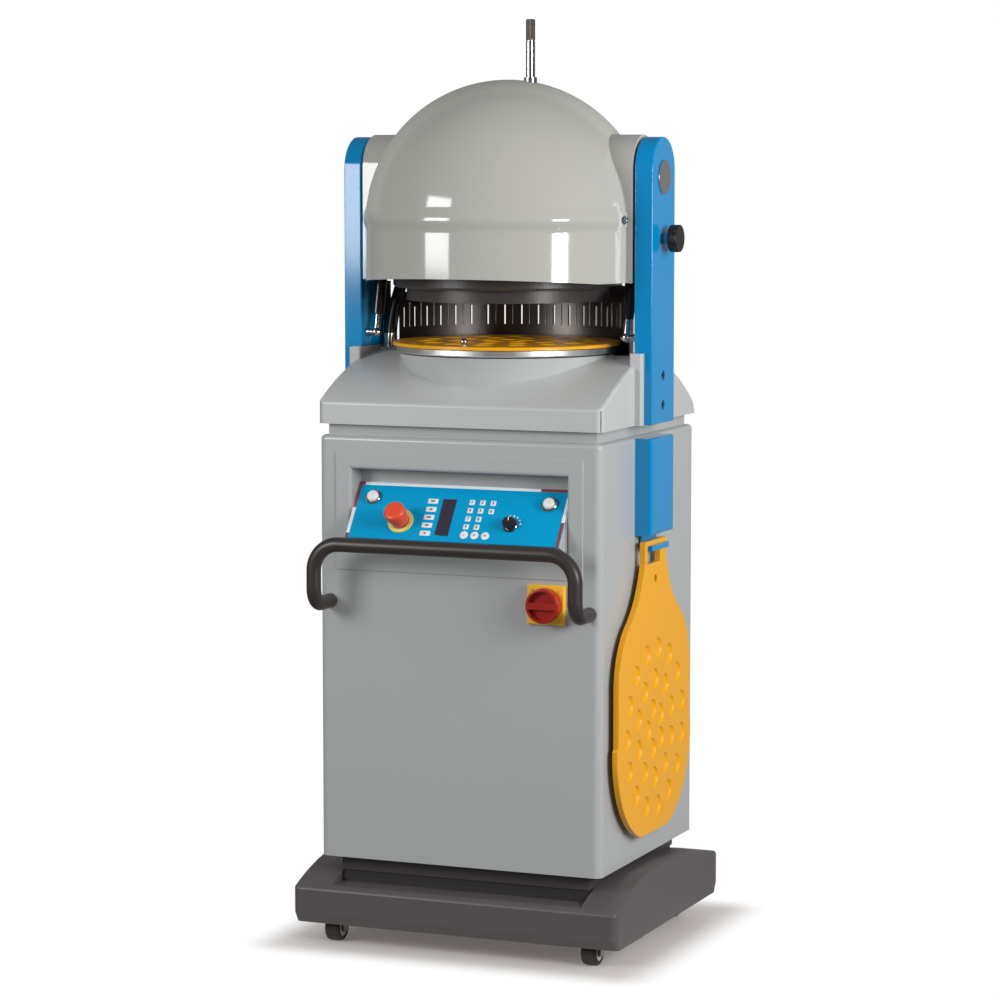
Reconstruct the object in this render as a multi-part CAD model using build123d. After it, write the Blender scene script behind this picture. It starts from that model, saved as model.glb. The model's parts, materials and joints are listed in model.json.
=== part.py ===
"""Dough divider rounder: a floor-standing bakery machine with a tilting press head.

Millimetres, +Z up, +X to the right seen from the front, +Y to the back.
The origin is on the floor under the middle of the cabinet.
"""
import math
import os

from build123d import *

# Press axis, shared by the table, the press and the uprights
AXIS_Y = -10.0

# Widths, from the hood outwards to the cabinet, as half widths
HOOD_R = 264.0
HOOD_SIDE_GAP = 8.0
UPRIGHT_INNER_X = HOOD_R + HOOD_SIDE_GAP
UPRIGHT_BED = 7.0
COVER_X = UPRIGHT_INNER_X + UPRIGHT_BED
COVER_LAP = 2.0
CABINET_X = COVER_X - COVER_LAP

# Depth of the cabinet, as a half depth
CABINET_Y = 247.0
CABINET_FRONT = -CABINET_Y

# Castors
WHEEL_R = 25.0
WHEEL_W = 30.0
AXLE_R = 4.0
CASTOR_TRAIL = 15.0
CASTOR_TOP = 70.0
FORK_SHEET = 3.0
KINGPIN_R = 6.0
KINGPIN_H = 12.0

# Base casting
BASE_SIDE = 43.0
BASE_X = CABINET_X + BASE_SIDE
BASE_STEP = 33.0
BASE_Y = CABINET_Y + BASE_STEP
CASTOR_INSET_X = 65.0
CASTOR_X = BASE_X - CASTOR_INSET_X
CASTOR_INSET_Y = 68.0
CASTOR_Y = BASE_Y - CASTOR_INSET_Y
BASE_BOTTOM = 39.0
BASE_SKIRT = 58.0
BASE_INSET = 12.0
BASE_CORNER = 12.0
BASE_WALL = 24.0
BASE_FRONT_TOP = 106.0
BASE_FRONT_MID = (-185.0, 138.0)
BASE_CREST = (-20.0, 151.0)
BASE_REAR_MID = (143.0, 140.5)
BASE_REAR_TOP = 116.0
WING_W = 73.0
WING_INNER_X = BASE_X - WING_W
WING_ROUND = 7.0
DECK_TOP = 112.0
DECK_SHEET = 12.0
CASTOR_PAD = 36.0

# Plinth between base and cabinet
PLINTH_INSET_X = 34.0
PLINTH_X = CABINET_X - PLINTH_INSET_X
PLINTH_INSET_FRONT = 29.0
PLINTH_FRONT = CABINET_FRONT + PLINTH_INSET_FRONT
PLINTH_INSET_REAR = 26.0
PLINTH_REAR = CABINET_Y - PLINTH_INSET_REAR
PLINTH_WALL = 8.0
PLINTH_LEDGE = 3.0
PLINTH_LEDGE_H = 12.0

# Cabinet
CABINET_BOTTOM = 163.0
CABINET_TOP = 946.0
CABINET_SHEET = 3.0
CABINET_CORNER = 14.0
CABINET_TOP_ROUND = 8.0
CABINET_RIM_X = 37.0
CABINET_MOUTH_X = CABINET_X - CABINET_RIM_X
CABINET_RIM_Y = 35.0
CABINET_MOUTH_Y = CABINET_Y - CABINET_RIM_Y

# Rear service panel with louvres and the cable gland
REAR_INSET = 41.0
REAR_X = CABINET_X - REAR_INSET
REAR_LOW = 205.0
REAR_HIGH = 905.0
REAR_LAP = 14.0
REAR_SHEET = 2.0
LOUVRE_COUNT = 8
LOUVRE_W = 150.0
LOUVRE_H = 7.0
LOUVRE_PITCH = 22.0
LOUVRE_X = 120.0
LOUVRE_LOW = 300.0
LOUVRE_TOP_LOW = 640.0
GLAND_INSET = 56.0
GLAND_X = REAR_X - GLAND_INSET
GLAND_Z = 250.0
GLAND_BORE_R = 6.5
GLAND_THREAD_R = 10.0
GLAND_HEX = 27.0
GLAND_CAP_R = 11.5
GLAND_OUT = 26.0
GLAND_IN = 12.0

# Steel chassis inside the cabinet
POST = 30.0
POST_GAP = 2.0
NECK_INSET = 14.0
NECK_H = 21.0
NECK_WALL = 10.0
DECK_PLATE = 8.0
SHELF_Z = 172.0
SHELF_SHEET = 6.0
RAIL_H = 20.0
PILASTER_WALL = 4.0
PILASTER_INNER_X = UPRIGHT_INNER_X - PILASTER_WALL
BRACKET_T = 22.0
BRACKET_INNER_X = PILASTER_INNER_X - BRACKET_T

# Control fascia, console and panel
FASCIA_INSET = 34.0
FASCIA_X = CABINET_X - FASCIA_INSET
FASCIA_LOW = 699.0
FASCIA_HIGH = 917.0
FASCIA_PROUD = 2.0
FASCIA_EDGE = 1.5
FASCIA_WALL = 7.0
FASCIA_SIDE = 31.0
RECESS_X = FASCIA_X - FASCIA_SIDE
RECESS_LOW = 749.0
RECESS_HIGH = 886.0
RECESS_DEPTH = 43.0
RECESS_BACK = CABINET_FRONT + RECESS_DEPTH
RECESS_ROUND = 6.0
CONSOLE_RIM = 8.0
PANEL_SIDE_GAP = 3.0
PANEL_X = RECESS_X - PANEL_SIDE_GAP
PANEL_REACH = 35.0
PANEL_SINK = 33.0
PANEL_LOW_Z = 764.0
PANEL_HIGH_Z = 859.0
PANEL_LOW = (CABINET_FRONT - PANEL_REACH, PANEL_LOW_Z)
PANEL_HIGH = (CABINET_FRONT + PANEL_SINK, PANEL_HIGH_Z)
PANEL_SHEET = 3.0
PRESS_ROOM = 0.5
START_INSET = 36.0
START_X = PANEL_X - START_INSET
START_Y = 26.0
START_RING_R = 15.0
START_RING_H = 6.0
START_CAP_R = 11.0
START_CAP_H = 6.0
START_CROWN = 5.0
START_TRAVEL = 3.0
STOP_POS = (-107.0, -21.0)
STOP_COLLAR_R = 24.0
STOP_COLLAR_H = 3.0
STOP_HEAD_R = 20.0
STOP_NECK_R = 17.0
STOP_STAND_OFF = 21.0
STOP_HEAD_H = 21.0
STOP_HEAD_EDGE = 3.0
STOP_CROWN = 6.5
STOP_TRAVEL = 5.0
TIMER_POS = (107.5, -19.0)
TIMER_R = 11.0
TIMER_SKIRT_R = 14.0
TIMER_SKIRT_H = 4.0
TIMER_FLUTES = 9
TIMER_FLUTE_R = 1.6
TIMER_H = 16.0
STEM_R = 7.0
STEM_BEHIND = 16.0
RUN_GAP = 0.05

# Main switch
SWITCH_INSET = 69.0
SWITCH_X = FASCIA_X - SWITCH_INSET
SWITCH_PLATE = 72.0
SWITCH_GAP = 8.0
SWITCH_Z = FASCIA_LOW - SWITCH_GAP - SWITCH_PLATE / 2
SWITCH_PLATE_H = 9.0
SWITCH_R = 31.5
SWITCH_H = 20.0
SWITCH_EDGE = 2.0
SWITCH_RIM = 5.0
SWITCH_DISH = 11.0
SWITCH_GRIP_W = 12.0
SWITCH_SHAFT_R = 6.0

# Push handle
HANDLE_R = 13.5
HANDLE_INSET = 22.0
HANDLE_X = CABINET_X - HANDLE_INSET
HANDLE_FOOT_Z = 641.0
HANDLE_RISE = 113.0
HANDLE_BAR_Z = HANDLE_FOOT_Z + HANDLE_RISE
HANDLE_REACH = 71.0
HANDLE_Y = CABINET_FRONT - HANDLE_REACH
HANDLE_FOOT_BEND = 30.0
HANDLE_TOP_BEND = 50.0

# Top cover
COVER_FRONT = CABINET_FRONT - COVER_LAP
COVER_REAR = CABINET_Y - COVER_LAP
COVER_LIP_TOP = 1007.0
COVER_CREST = (-20.0, 1090.0)
COVER_FRONT_MID = (-150.0, 1054.0)
COVER_REAR_MID = (144.0, 1048.0)
COVER_REAR_LOW = (235.0, 996.0)
COVER_SHEET = 3.5
COVER_EDGE = 7.0
COVER_CORNER = 14.0
DRUM_R_LOW = 176.0
DRUM_R_HIGH = 203.0
DRUM_LOW = 1030.0
DRUM_TOP = 1090.5
DRUM_MOUTH_R = 86.0
PILASTER_GRIP = 20.0
PILASTER_OUTER_X = UPRIGHT_INNER_X + PILASTER_GRIP
PILASTER_MARGIN = 14.0
PILASTER_TOP = 1098.0
PILASTER_ROUND = 4.0
HOSE_PAD_GAP = 5.0
HOSE_PAD_W = 22.0
HOSE_PAD_X = (HOSE_PAD_GAP - UPRIGHT_INNER_X, HOSE_PAD_GAP + HOSE_PAD_W - UPRIGHT_INNER_X)
HOSE_PAD_Y = (2.0, 52.0)
HOSE_PAD_Z = (1074.0, 1094.0)

# Uprights
UPRIGHT_T = 35.0
UPRIGHT_D = 120.0
UPRIGHT_LOW = 968.0
UPRIGHT_TOP = 1489.0
UPRIGHT_EDGE = 2.5
BOLT_Z = (1001.0, 1055.0)
BOLT_R = 6.0
BOLT_HEAD_R = 9.0
BOLT_HEAD_H = 10.0
BOLT_SUNK = 1.5
BOLT_KEY_R = 4.5

# Head pivot and index plunger
PIVOT_Z = 1416.0
PIVOT_R = 17.0
PIVOT_DISC_R = 32.0
PIVOT_DISC_H = 4.0
PIVOT_PROUD = 2.0
PLUNGER_Z = 1305.0
PLUNGER_R = 6.0
PLUNGER_SLEEVE_R = 9.5
PLUNGER_HEX_R = 11.5
PLUNGER_COLLAR_H = 14.0
PLUNGER_KNOB_R = 25.5
PLUNGER_KNOB_H = 18.0
PLUNGER_LOBES = 6
PLUNGER_SCALLOP_R = 8.5
PLUNGER_SCALLOP_AT = 31.0
PLUNGER_NOSE = 2.0

# Table drive
ORBIT_R = 5.0
SHAFT_R = 20.0
SHAFT_LOW = 815.0
SHAFT_FLANGE_Z = 1036.0
SHAFT_FLANGE_H = 12.0
SHAFT_FLANGE_R = 45.0
CRANK_R = 25.0
CRANK_TOP = 1086.0
HOUSING_R = 58.0
HOUSING_FLANGE_R = 110.0
HOUSING_FLANGE_H = 12.0
HOUSING_LOW = 890.0
HOUSING_TOP = 1030.0
PULLEY_LOW = 835.0
PULLEY_H = 32.0
DRIVEN_R = 100.0
MOTOR_PULLEY_R = 40.0
MOTOR_Y = 140.0
MOTOR_R = 68.0
MOTOR_L = 200.0
MOTOR_SHAFT_R = 12.0
MOTOR_FLANGE_R = 80.0
MOTOR_FLANGE_H = 12.0
MOTOR_FINS = 6
BELT_T = 4.0
BELT_GAP = 0.3

# Table, moulding plate and its ball stud
TABLE_R = 205.0
TABLE_LOW = 1093.0
TABLE_TOP = 1106.0
TABLE_HUB_R = 66.0
TABLE_HUB_LOW = 1054.0
TABLE_EDGE = 2.0
PLATE_R = 212.0
PLATE_T = 6.0
CUP_R = 19.0
CUP_DEPTH = 3.5
CUP_COUNTS = (5, 10, 15)
CUP_RADII = (38.0, 92.0, 148.0)
STUD_R = 203.0
STUD_BALL_R = 6.5
STUD_NECK_R = 4.0
STUD_H = 15.0

# Press ring, pressing segments and knives
RING_LOW = 1189.0
RING_STEP = 1213.0
RING_SHOULDER = 1238.0
RING_TOP = 1270.0
RING_BAND_R = 188.0
RING_RIM_R = 213.0
RING_CROWN_R = 204.0
RING_BORE_R = 180.0
RING_CAP = 12.0
SEGMENT_LOW = 1211.0
SEGMENT_H = 12.0
SEGMENT_TOP_PLATE = 4.0
SEGMENT_POST = 12.0
SEGMENT_PLATE_R = 178.0
SEGMENT_COUNTS = (5, 10, 15)
SEGMENT_EDGES = (8.0, 62.0, 119.0, 178.0)
KNIFE_T = 2.5
KNIFE_GAP = 0.6
KNIFE_LOW = 1212.0
KNIFE_H = 38.0
KNIFE_ROD_R = 5.0
KNIFE_ROD_TOP = 1280.0
KNIFE_ROD_COUNT = 5
PISTON_R = 16.0
PISTON_TOP = 1390.0
GUIDE_X = 45.0
GUIDE_R = 8.5
GUIDE_TOP = 1704.0
GUIDE_GRIP_H = 40.0
GUIDE_GROOVE = 0.8

# Tilting head: yoke, cylinder and hood
ARM_GAP = 28.0
ARM_OUTER_X = HOOD_R - ARM_GAP
ARM_T = 20.0
ARM_INNER_X = ARM_OUTER_X - ARM_T
ARM_BOSS_R = 50.0
ARM_FRONT = -55.0
ARM_REAR = 35.0
BRIDGE_LOW = 1285.0
BRIDGE_H = 20.0
BRIDGE_FRONT = -70.0
BRIDGE_REAR = 30.0
CYLINDER_R = 27.0
CYLINDER_TOP = 1480.0
CYLINDER_FLANGE_R = 35.0
CYLINDER_FLANGE_H = 14.0
HOOD_Z = 1330.0
HOOD_SHEET = 4.0
HOOD_FRONT_LOW = 1235.0
HOOD_SIDE_LOW = 1225.0
HOOD_REAR_LOW = 1268.0
CHEEK_GAP = 4.5
CHEEK_X = UPRIGHT_INNER_X - CHEEK_GAP
CHEEK_R = 62.0
CHEEK_TOP = 1493.0
BEAD_LOW = 1326.0
BEAD_HIGH = 1352.0
BEAD_PROUD = 1.5
NOTCH_MARGIN = 4.0
NOTCH_X = ARM_INNER_X - NOTCH_MARGIN
NOTCH_FRONT = 45.0
NOTCH_TOP = 1442.0
NOTCH_REAR_Z = 1250.0
HOOD_SCREW_Y = -80.0
HOOD_SCREW_R = 5.0
HOOD_SCREW_H = 4.0
HOOD_SCREW_LONG = 16.0
HOOD_PIN_HOLE_R = 19.0
LUG_LOW = 1326.0
LUG_HIGH = 1356.0
LUG_FRONT = -92.0
BUSH_R = 12.0
BUSH_LOW = 1576.0
BUSH_TOP = 1598.0

# Gas springs between uprights and yoke
SPRING_OFFSET = 22.0
SPRING_X = UPRIGHT_INNER_X - SPRING_OFFSET
SPRING_LOW = (-51.0, 1125.0)
SPRING_PIN = (22.0, 1436.4)
SPRING_TUBE_R = 11.0
SPRING_TUBE_START = 34.0
SPRING_TUBE_END = 205.0
SPRING_NECK_R = 5.0
SPRING_SOCKET_R = 9.0
SPRING_COLLAR_R = 7.0
SPRING_COLLAR_W = 9.0
SPRING_STEM_R = 6.0
SPRING_ROD_R = 5.0
SPRING_ROD_IN = 70.0
SPRING_PIN_R = 4.0
SPRING_EYE_R = 13.5
SPRING_EYE_BORE = 9.5
SPRING_EYE_W = 10.0

# Splash guard behind the table
GUARD_R = 234.0
GUARD_SHEET = 2.0
GUARD_LOW = 985.0
GUARD_TOP = 1177.0
GUARD_HALF_ANGLE = 84.0
GUARD_SLOTS = 21
GUARD_SLOT_ANGLE = 80.0
GUARD_SLOT_W = 5.0
GUARD_SLOT_LOW = 1131.0
GUARD_SLOT_HIGH = 1168.0

# Plate holder on the right side and the spare plate
HOLDER_OUT = 32.0
HOLDER_FRONT = -75.0
HOLDER_REAR = 48.0
HOLDER_LOW = 765.0
HOLDER_HIGH = 943.0
HOLDER_EDGE = 7.0
HOOK_SHEET = 3.0
HOOK_STAND_OFF = 4.0
HOOK_FRONT = -56.0
HOOK_REAR = 20.0
HOOK_BAR_FRONT = -52.0
HOOK_BAR_REAR = 38.0
HOOK_BAR_LOW = 735.0
HOOK_BAR_H = 10.0
SPARE_STAND_OFF = 11.0
SPARE_X = CABINET_X + SPARE_STAND_OFF
SPARE_T = 10.0
HOOK_TIP = 5.0
HOOK_BAR_OUT = SPARE_X + SPARE_T + HOOK_TIP
SPARE_Y = -20.0
SPARE_TOP = 754.0
SPARE_GAP = 0.3
SPARE_SLOT_FRONT = -64.0
SPARE_SLOT_REAR = 2.0
SPARE_SLOT_LOW = 712.0
SPARE_HOLE_Z = 682.0
SPARE_HOLE_R = 7.0
SPARE_NECK = (58.0, 714.0)
SPARE_WAIST = (78.0, 668.0)
SPARE_TURN = (125.0, 617.0)
SPARE_SHOULDER = (175.0, 565.0)
SPARE_SIDE = (192.0, 505.0)
SPARE_STEP = 5.0
SPARE_STEP_Z = 394.0
SPARE_SIDE_LOW = 366.0
SPARE_HAUNCH = (159.0, 270.0)
SPARE_FOOT = (70.0, 211.0)
SPARE_CENTRE_Z = 404.0

# Hydraulic unit and hoses
TANK_X = (-190.0, 30.0)
TANK_Y = (-190.0, 20.0)
TANK_H = 260.0
TANK_LID = 10.0
TANK_LID_LAP = 8.0
PUMP_R = 62.0
PUMP_H = 190.0
VALVE = (60.0, 120.0, 70.0)
HOSE_R = 5.5
HOSE_BEND = 0.45
HOSE_FOOT_GAP = 16.0
HOSE_FOOT = HOSE_FOOT_GAP - UPRIGHT_INNER_X
HOSE_BOW_GAP = 32.0
HOSE_BOW = HOSE_BOW_GAP - UPRIGHT_INNER_X
HOSE_TOP_GAP = 10.0
HOSE_TOP = HOSE_TOP_GAP - ARM_OUTER_X
HOSE_ROUTES = (
    ((HOSE_FOOT, 12, 1094), (HOSE_FOOT, 12, 1146), (HOSE_BOW, 38, 1226),
     (HOSE_TOP, 49, 1314), (HOSE_TOP, 49, 1372)),
    ((HOSE_FOOT, 27, 1094), (HOSE_FOOT, 27, 1146), (HOSE_BOW, 54, 1226),
     (HOSE_TOP, 66, 1314), (HOSE_TOP, 66, 1372)),
    ((HOSE_FOOT, 42, 1094), (HOSE_FOOT, 42, 1146), (HOSE_BOW, 70, 1226),
     (HOSE_TOP, 83, 1314), (HOSE_TOP, 83, 1372)),
)
HOSE_SHELF_Z = (1372.0, 1384.0)
HOSE_SHELF_REAR = 92.0

UPRIGHT_OUTER_X = UPRIGHT_INNER_X + UPRIGHT_T
UPRIGHT_FRONT = AXIS_Y - UPRIGHT_D / 2
UPRIGHT_REAR = AXIS_Y + UPRIGHT_D / 2
COVER_LOW = CABINET_TOP + NECK_H


def block(x, y, z):
    """A box given by its low and high limits along X, Y and Z."""
    low, high = zip(x, y, z)
    size = [b - a for a, b in zip(low, high)]
    middle = [(a + b) / 2 for a, b in zip(low, high)]
    return Pos(*middle) * Box(*size)


def bar_x(y, z, radius, low, high):
    """A round bar along X."""
    return Pos((low + high) / 2, y, z) * Rot(0, 90, 0) * Cylinder(radius, high - low)


def bar_y(x, z, radius, low, high):
    """A round bar along Y."""
    return Pos(x, (low + high) / 2, z) * Rot(90, 0, 0) * Cylinder(radius, high - low)


def bar_z(x, y, radius, low, high):
    """A round bar along Z."""
    return Pos(x, y, (low + high) / 2) * Cylinder(radius, high - low)


def side_prism(face, low, high):
    """Extrude a face drawn in Y and Z along X."""
    return extrude(Plane.YZ.offset(low) * face, high - low)


def polygon(*points):
    """A flat face from its corner points."""
    return make_face(Polyline(*points, close=True))


def turned(profile):
    """Revolve a profile of radius and height about the press axis."""
    return Pos(0, AXIS_Y, 0) * revolve(Plane.XZ * profile, Axis.Z)


def mirrored(part):
    """The part and its mirror image on the other side of the machine."""
    return part + mirror(part, about=Plane.YZ)


# Base, plinth and cabinet


def base():
    foot = RectangleRounded(2 * BASE_X, 2 * (BASE_Y - BASE_INSET), BASE_CORNER)
    plan = RectangleRounded(2 * BASE_X, 2 * BASE_Y, BASE_CORNER)
    casting = loft([Pos(0, 0, BASE_BOTTOM) * foot, Pos(0, 0, BASE_SKIRT) * plan], ruled=True)
    casting += extrude(Pos(0, 0, BASE_SKIRT) * plan, BASE_CREST[1] - BASE_SKIRT)
    margin = BASE_Y + BASE_WALL
    outline = Polyline((BASE_Y, BASE_REAR_TOP), (margin, BASE_REAR_TOP), (margin, 0), (-margin, 0),
                       (-margin, BASE_FRONT_TOP), (-BASE_Y, BASE_FRONT_TOP))
    outline += ThreePointArc((-BASE_Y, BASE_FRONT_TOP), BASE_FRONT_MID, BASE_CREST)
    outline += ThreePointArc(BASE_CREST, BASE_REAR_MID, (BASE_Y, BASE_REAR_TOP))
    casting &= side_prism(make_face(outline), -2 * BASE_X, 2 * BASE_X)
    crown = casting.edges().filter_by(Axis.Z, reverse=True).filter_by(lambda e: e.center().Z > BASE_SKIRT)
    casting = fillet(crown, WING_ROUND)
    casting -= block((-WING_INNER_X, WING_INNER_X), (-margin, margin), (DECK_TOP, 2 * BASE_CREST[1]))
    hollow_x = BASE_X - BASE_WALL
    hollow_y = BASE_Y - BASE_WALL
    ceiling = DECK_TOP - DECK_SHEET
    casting -= block((-hollow_x, hollow_x), (-hollow_y, hollow_y), (0, ceiling))
    for x, y in castor_places():
        pad_x = (x - CASTOR_PAD, x + CASTOR_PAD)
        pad_y = (y - CASTOR_PAD, y + CASTOR_PAD)
        casting += block(pad_x, pad_y, (CASTOR_TOP, ceiling))
        casting -= bar_z(x, y, KINGPIN_R + RUN_GAP, CASTOR_TOP, CASTOR_TOP + KINGPIN_H)
    return casting


def castor_places():
    """Swivel axes: front left, front right, rear left, rear right."""
    return [(sx * CASTOR_X, sy * CASTOR_Y) for sy in (-1, 1) for sx in (-1, 1)]


def plinth():
    y_limits = (PLINTH_FRONT, PLINTH_REAR)
    box = block((-PLINTH_X, PLINTH_X), y_limits, (DECK_TOP, CABINET_BOTTOM))
    box += block((-PLINTH_X - PLINTH_LEDGE, PLINTH_X + PLINTH_LEDGE),
                 (PLINTH_FRONT - PLINTH_LEDGE, PLINTH_REAR + PLINTH_LEDGE),
                 (DECK_TOP, DECK_TOP + PLINTH_LEDGE_H))
    inner_x = PLINTH_X - PLINTH_WALL
    inner_y = (PLINTH_FRONT + PLINTH_WALL, PLINTH_REAR - PLINTH_WALL)
    return box - block((-inner_x, inner_x), inner_y, (DECK_TOP, CABINET_BOTTOM))


def cabinet_shell():
    plan = RectangleRounded(2 * CABINET_X, 2 * CABINET_Y, CABINET_CORNER)
    shell = extrude(Pos(0, 0, CABINET_BOTTOM) * plan, CABINET_TOP - CABINET_BOTTOM)
    shell = fillet(shell.faces().sort_by(Axis.Z)[-1].edges(), CABINET_TOP_ROUND)
    inner = RectangleRounded(2 * (CABINET_X - CABINET_SHEET), 2 * (CABINET_Y - CABINET_SHEET),
                             CABINET_CORNER - CABINET_SHEET)
    cavity_low = CABINET_BOTTOM + CABINET_SHEET
    cavity_high = CABINET_TOP - CABINET_TOP_ROUND
    shell -= extrude(Pos(0, 0, cavity_low) * inner, cavity_high - cavity_low)
    shell -= block((-CABINET_MOUTH_X, CABINET_MOUTH_X), (-CABINET_MOUTH_Y, CABINET_MOUTH_Y),
                   (cavity_high, CABINET_TOP))
    front_wall = (CABINET_FRONT, CABINET_FRONT + CABINET_SHEET)
    rear_wall = (CABINET_Y - CABINET_SHEET, CABINET_Y)
    door_x = REAR_X - REAR_LAP
    shell -= block((-door_x, door_x), rear_wall, (REAR_LOW + REAR_LAP, REAR_HIGH - REAR_LAP))
    window_x = RECESS_X + FASCIA_WALL
    window_z = (RECESS_LOW - FASCIA_WALL, RECESS_HIGH + FASCIA_WALL)
    shell -= block((-window_x, window_x), front_wall, window_z)
    shell -= bar_y(SWITCH_X, SWITCH_Z, SWITCH_SHAFT_R + RUN_GAP, *front_wall)
    return shell


def rear_panel():
    panel = block((-REAR_X, REAR_X), (CABINET_Y, CABINET_Y + REAR_SHEET), (REAR_LOW, REAR_HIGH))
    for side in (-1, 1):
        for low in (LOUVRE_LOW, LOUVRE_TOP_LOW):
            for i in range(LOUVRE_COUNT):
                z = low + i * LOUVRE_PITCH
                x = side * LOUVRE_X
                panel -= block((x - LOUVRE_W / 2, x + LOUVRE_W / 2), (CABINET_Y, CABINET_Y + REAR_SHEET),
                               (z, z + LOUVRE_H))
    return panel - bar_y(GLAND_X, GLAND_Z, GLAND_THREAD_R, CABINET_Y, CABINET_Y + REAR_SHEET)


def cable_gland():
    face = CABINET_Y + REAR_SHEET
    nut = RegularPolygon(GLAND_HEX / 2, 6, major_radius=False)
    outside = Pos(GLAND_X, face, GLAND_Z) * Rot(-90, 0, 0)
    gland = outside * extrude(nut, GLAND_OUT / 2)
    gland += bar_y(GLAND_X, GLAND_Z, GLAND_CAP_R, face + GLAND_OUT / 2, face + GLAND_OUT)
    gland += bar_y(GLAND_X, GLAND_Z, GLAND_THREAD_R, CABINET_Y - GLAND_IN, face)
    gland += Pos(GLAND_X, CABINET_Y - CABINET_SHEET, GLAND_Z) * Rot(90, 0, 0) * extrude(nut, GLAND_IN / 2)
    return gland - bar_y(GLAND_X, GLAND_Z, GLAND_BORE_R, CABINET_Y - GLAND_IN, face + GLAND_OUT)


def chassis():
    inner_x = CABINET_X - CABINET_SHEET - POST_GAP
    inner_y = CABINET_Y - CABINET_SHEET - POST_GAP
    floor = CABINET_BOTTOM + CABINET_SHEET
    ceiling = CABINET_TOP - CABINET_TOP_ROUND
    frame = Part()
    for sx in (-1, 1):
        for sy in (-1, 1):
            corner = CABINET_CORNER / 2
            x = sorted((sx * (inner_x - corner), sx * (inner_x - corner - POST)))
            y = sorted((sy * (inner_y - corner), sy * (inner_y - corner - POST)))
            frame += block(x, y, (floor, ceiling))
    rail_x = inner_x - CABINET_CORNER / 2
    rail_y = inner_y - CABINET_CORNER / 2
    motor_plate_top = PULLEY_LOW - PULLEY_H / 4
    motor_plate = (motor_plate_top - DECK_PLATE, motor_plate_top)
    for z in (SHELF_Z, motor_plate[0], ceiling - RAIL_H):
        frame += block((-rail_x, rail_x), (rail_y - POST, rail_y), (z, z + RAIL_H))
    for sx in (-1, 1):
        x = sorted((sx * rail_x, sx * (rail_x - POST)))
        frame += block(x, (-rail_y, rail_y), (SHELF_Z, SHELF_Z + RAIL_H))
        frame += block(x, (-rail_y, rail_y), (ceiling - RAIL_H, ceiling))
    frame += block((-rail_x, rail_x), (-rail_y, rail_y), (SHELF_Z, SHELF_Z + SHELF_SHEET))
    frame += block((-MOTOR_FLANGE_R, MOTOR_FLANGE_R), (MOTOR_Y - MOTOR_FLANGE_R, rail_y), motor_plate)
    frame -= bar_z(0, MOTOR_Y, MOTOR_SHAFT_R + FORK_SHEET, *motor_plate)
    # The neck shows as a groove between cabinet and cover
    neck_x = CABINET_X - NECK_INSET
    neck_y = CABINET_Y - NECK_INSET
    frame += block((-CABINET_MOUTH_X, CABINET_MOUTH_X), (-CABINET_MOUTH_Y, CABINET_MOUTH_Y),
                   (ceiling, CABINET_TOP))
    frame += block((-neck_x, neck_x), (-neck_y, neck_y), (CABINET_TOP, COVER_LOW))
    frame -= block((-neck_x + NECK_WALL, neck_x - NECK_WALL), (-neck_y + NECK_WALL, neck_y - NECK_WALL),
                   (CABINET_TOP + DECK_PLATE, COVER_LOW))
    frame -= bar_z(0, AXIS_Y, HOUSING_R, ceiling, COVER_LOW)
    bracket = block((BRACKET_INNER_X, PILASTER_INNER_X), (UPRIGHT_FRONT, UPRIGHT_REAR),
                    (COVER_LOW, BOLT_Z[-1] + 2 * BOLT_R))
    bracket += block((BRACKET_INNER_X, neck_x), (UPRIGHT_FRONT, UPRIGHT_REAR), (CABINET_TOP, COVER_LOW))
    for z in BOLT_Z:
        bracket -= bar_x(AXIS_Y, z, BOLT_R, BRACKET_INNER_X, PILASTER_INNER_X)
    return frame + mirrored(bracket)


# Control fascia, panel and its controls


def panel_frame(height=0.0):
    """A plane on the console's slope: local X to the right, local Y up the slope, Z outwards."""
    rise = PANEL_HIGH[1] - PANEL_LOW[1]
    run = PANEL_HIGH[0] - PANEL_LOW[0]
    middle = ((PANEL_LOW[0] + PANEL_HIGH[0]) / 2, (PANEL_LOW[1] + PANEL_HIGH[1]) / 2)
    plane = Plane(origin=(0, *middle), x_dir=(1, 0, 0), z_dir=(0, -rise, run))
    return plane.offset(height)


def panel_bar(place, radius, low, high):
    """A round bar square to the panel, from one height above its face to another."""
    return extrude(panel_frame(low) * Pos(*place) * Circle(radius), high - low)


def panel_length():
    return math.dist(PANEL_LOW, PANEL_HIGH)


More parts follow.
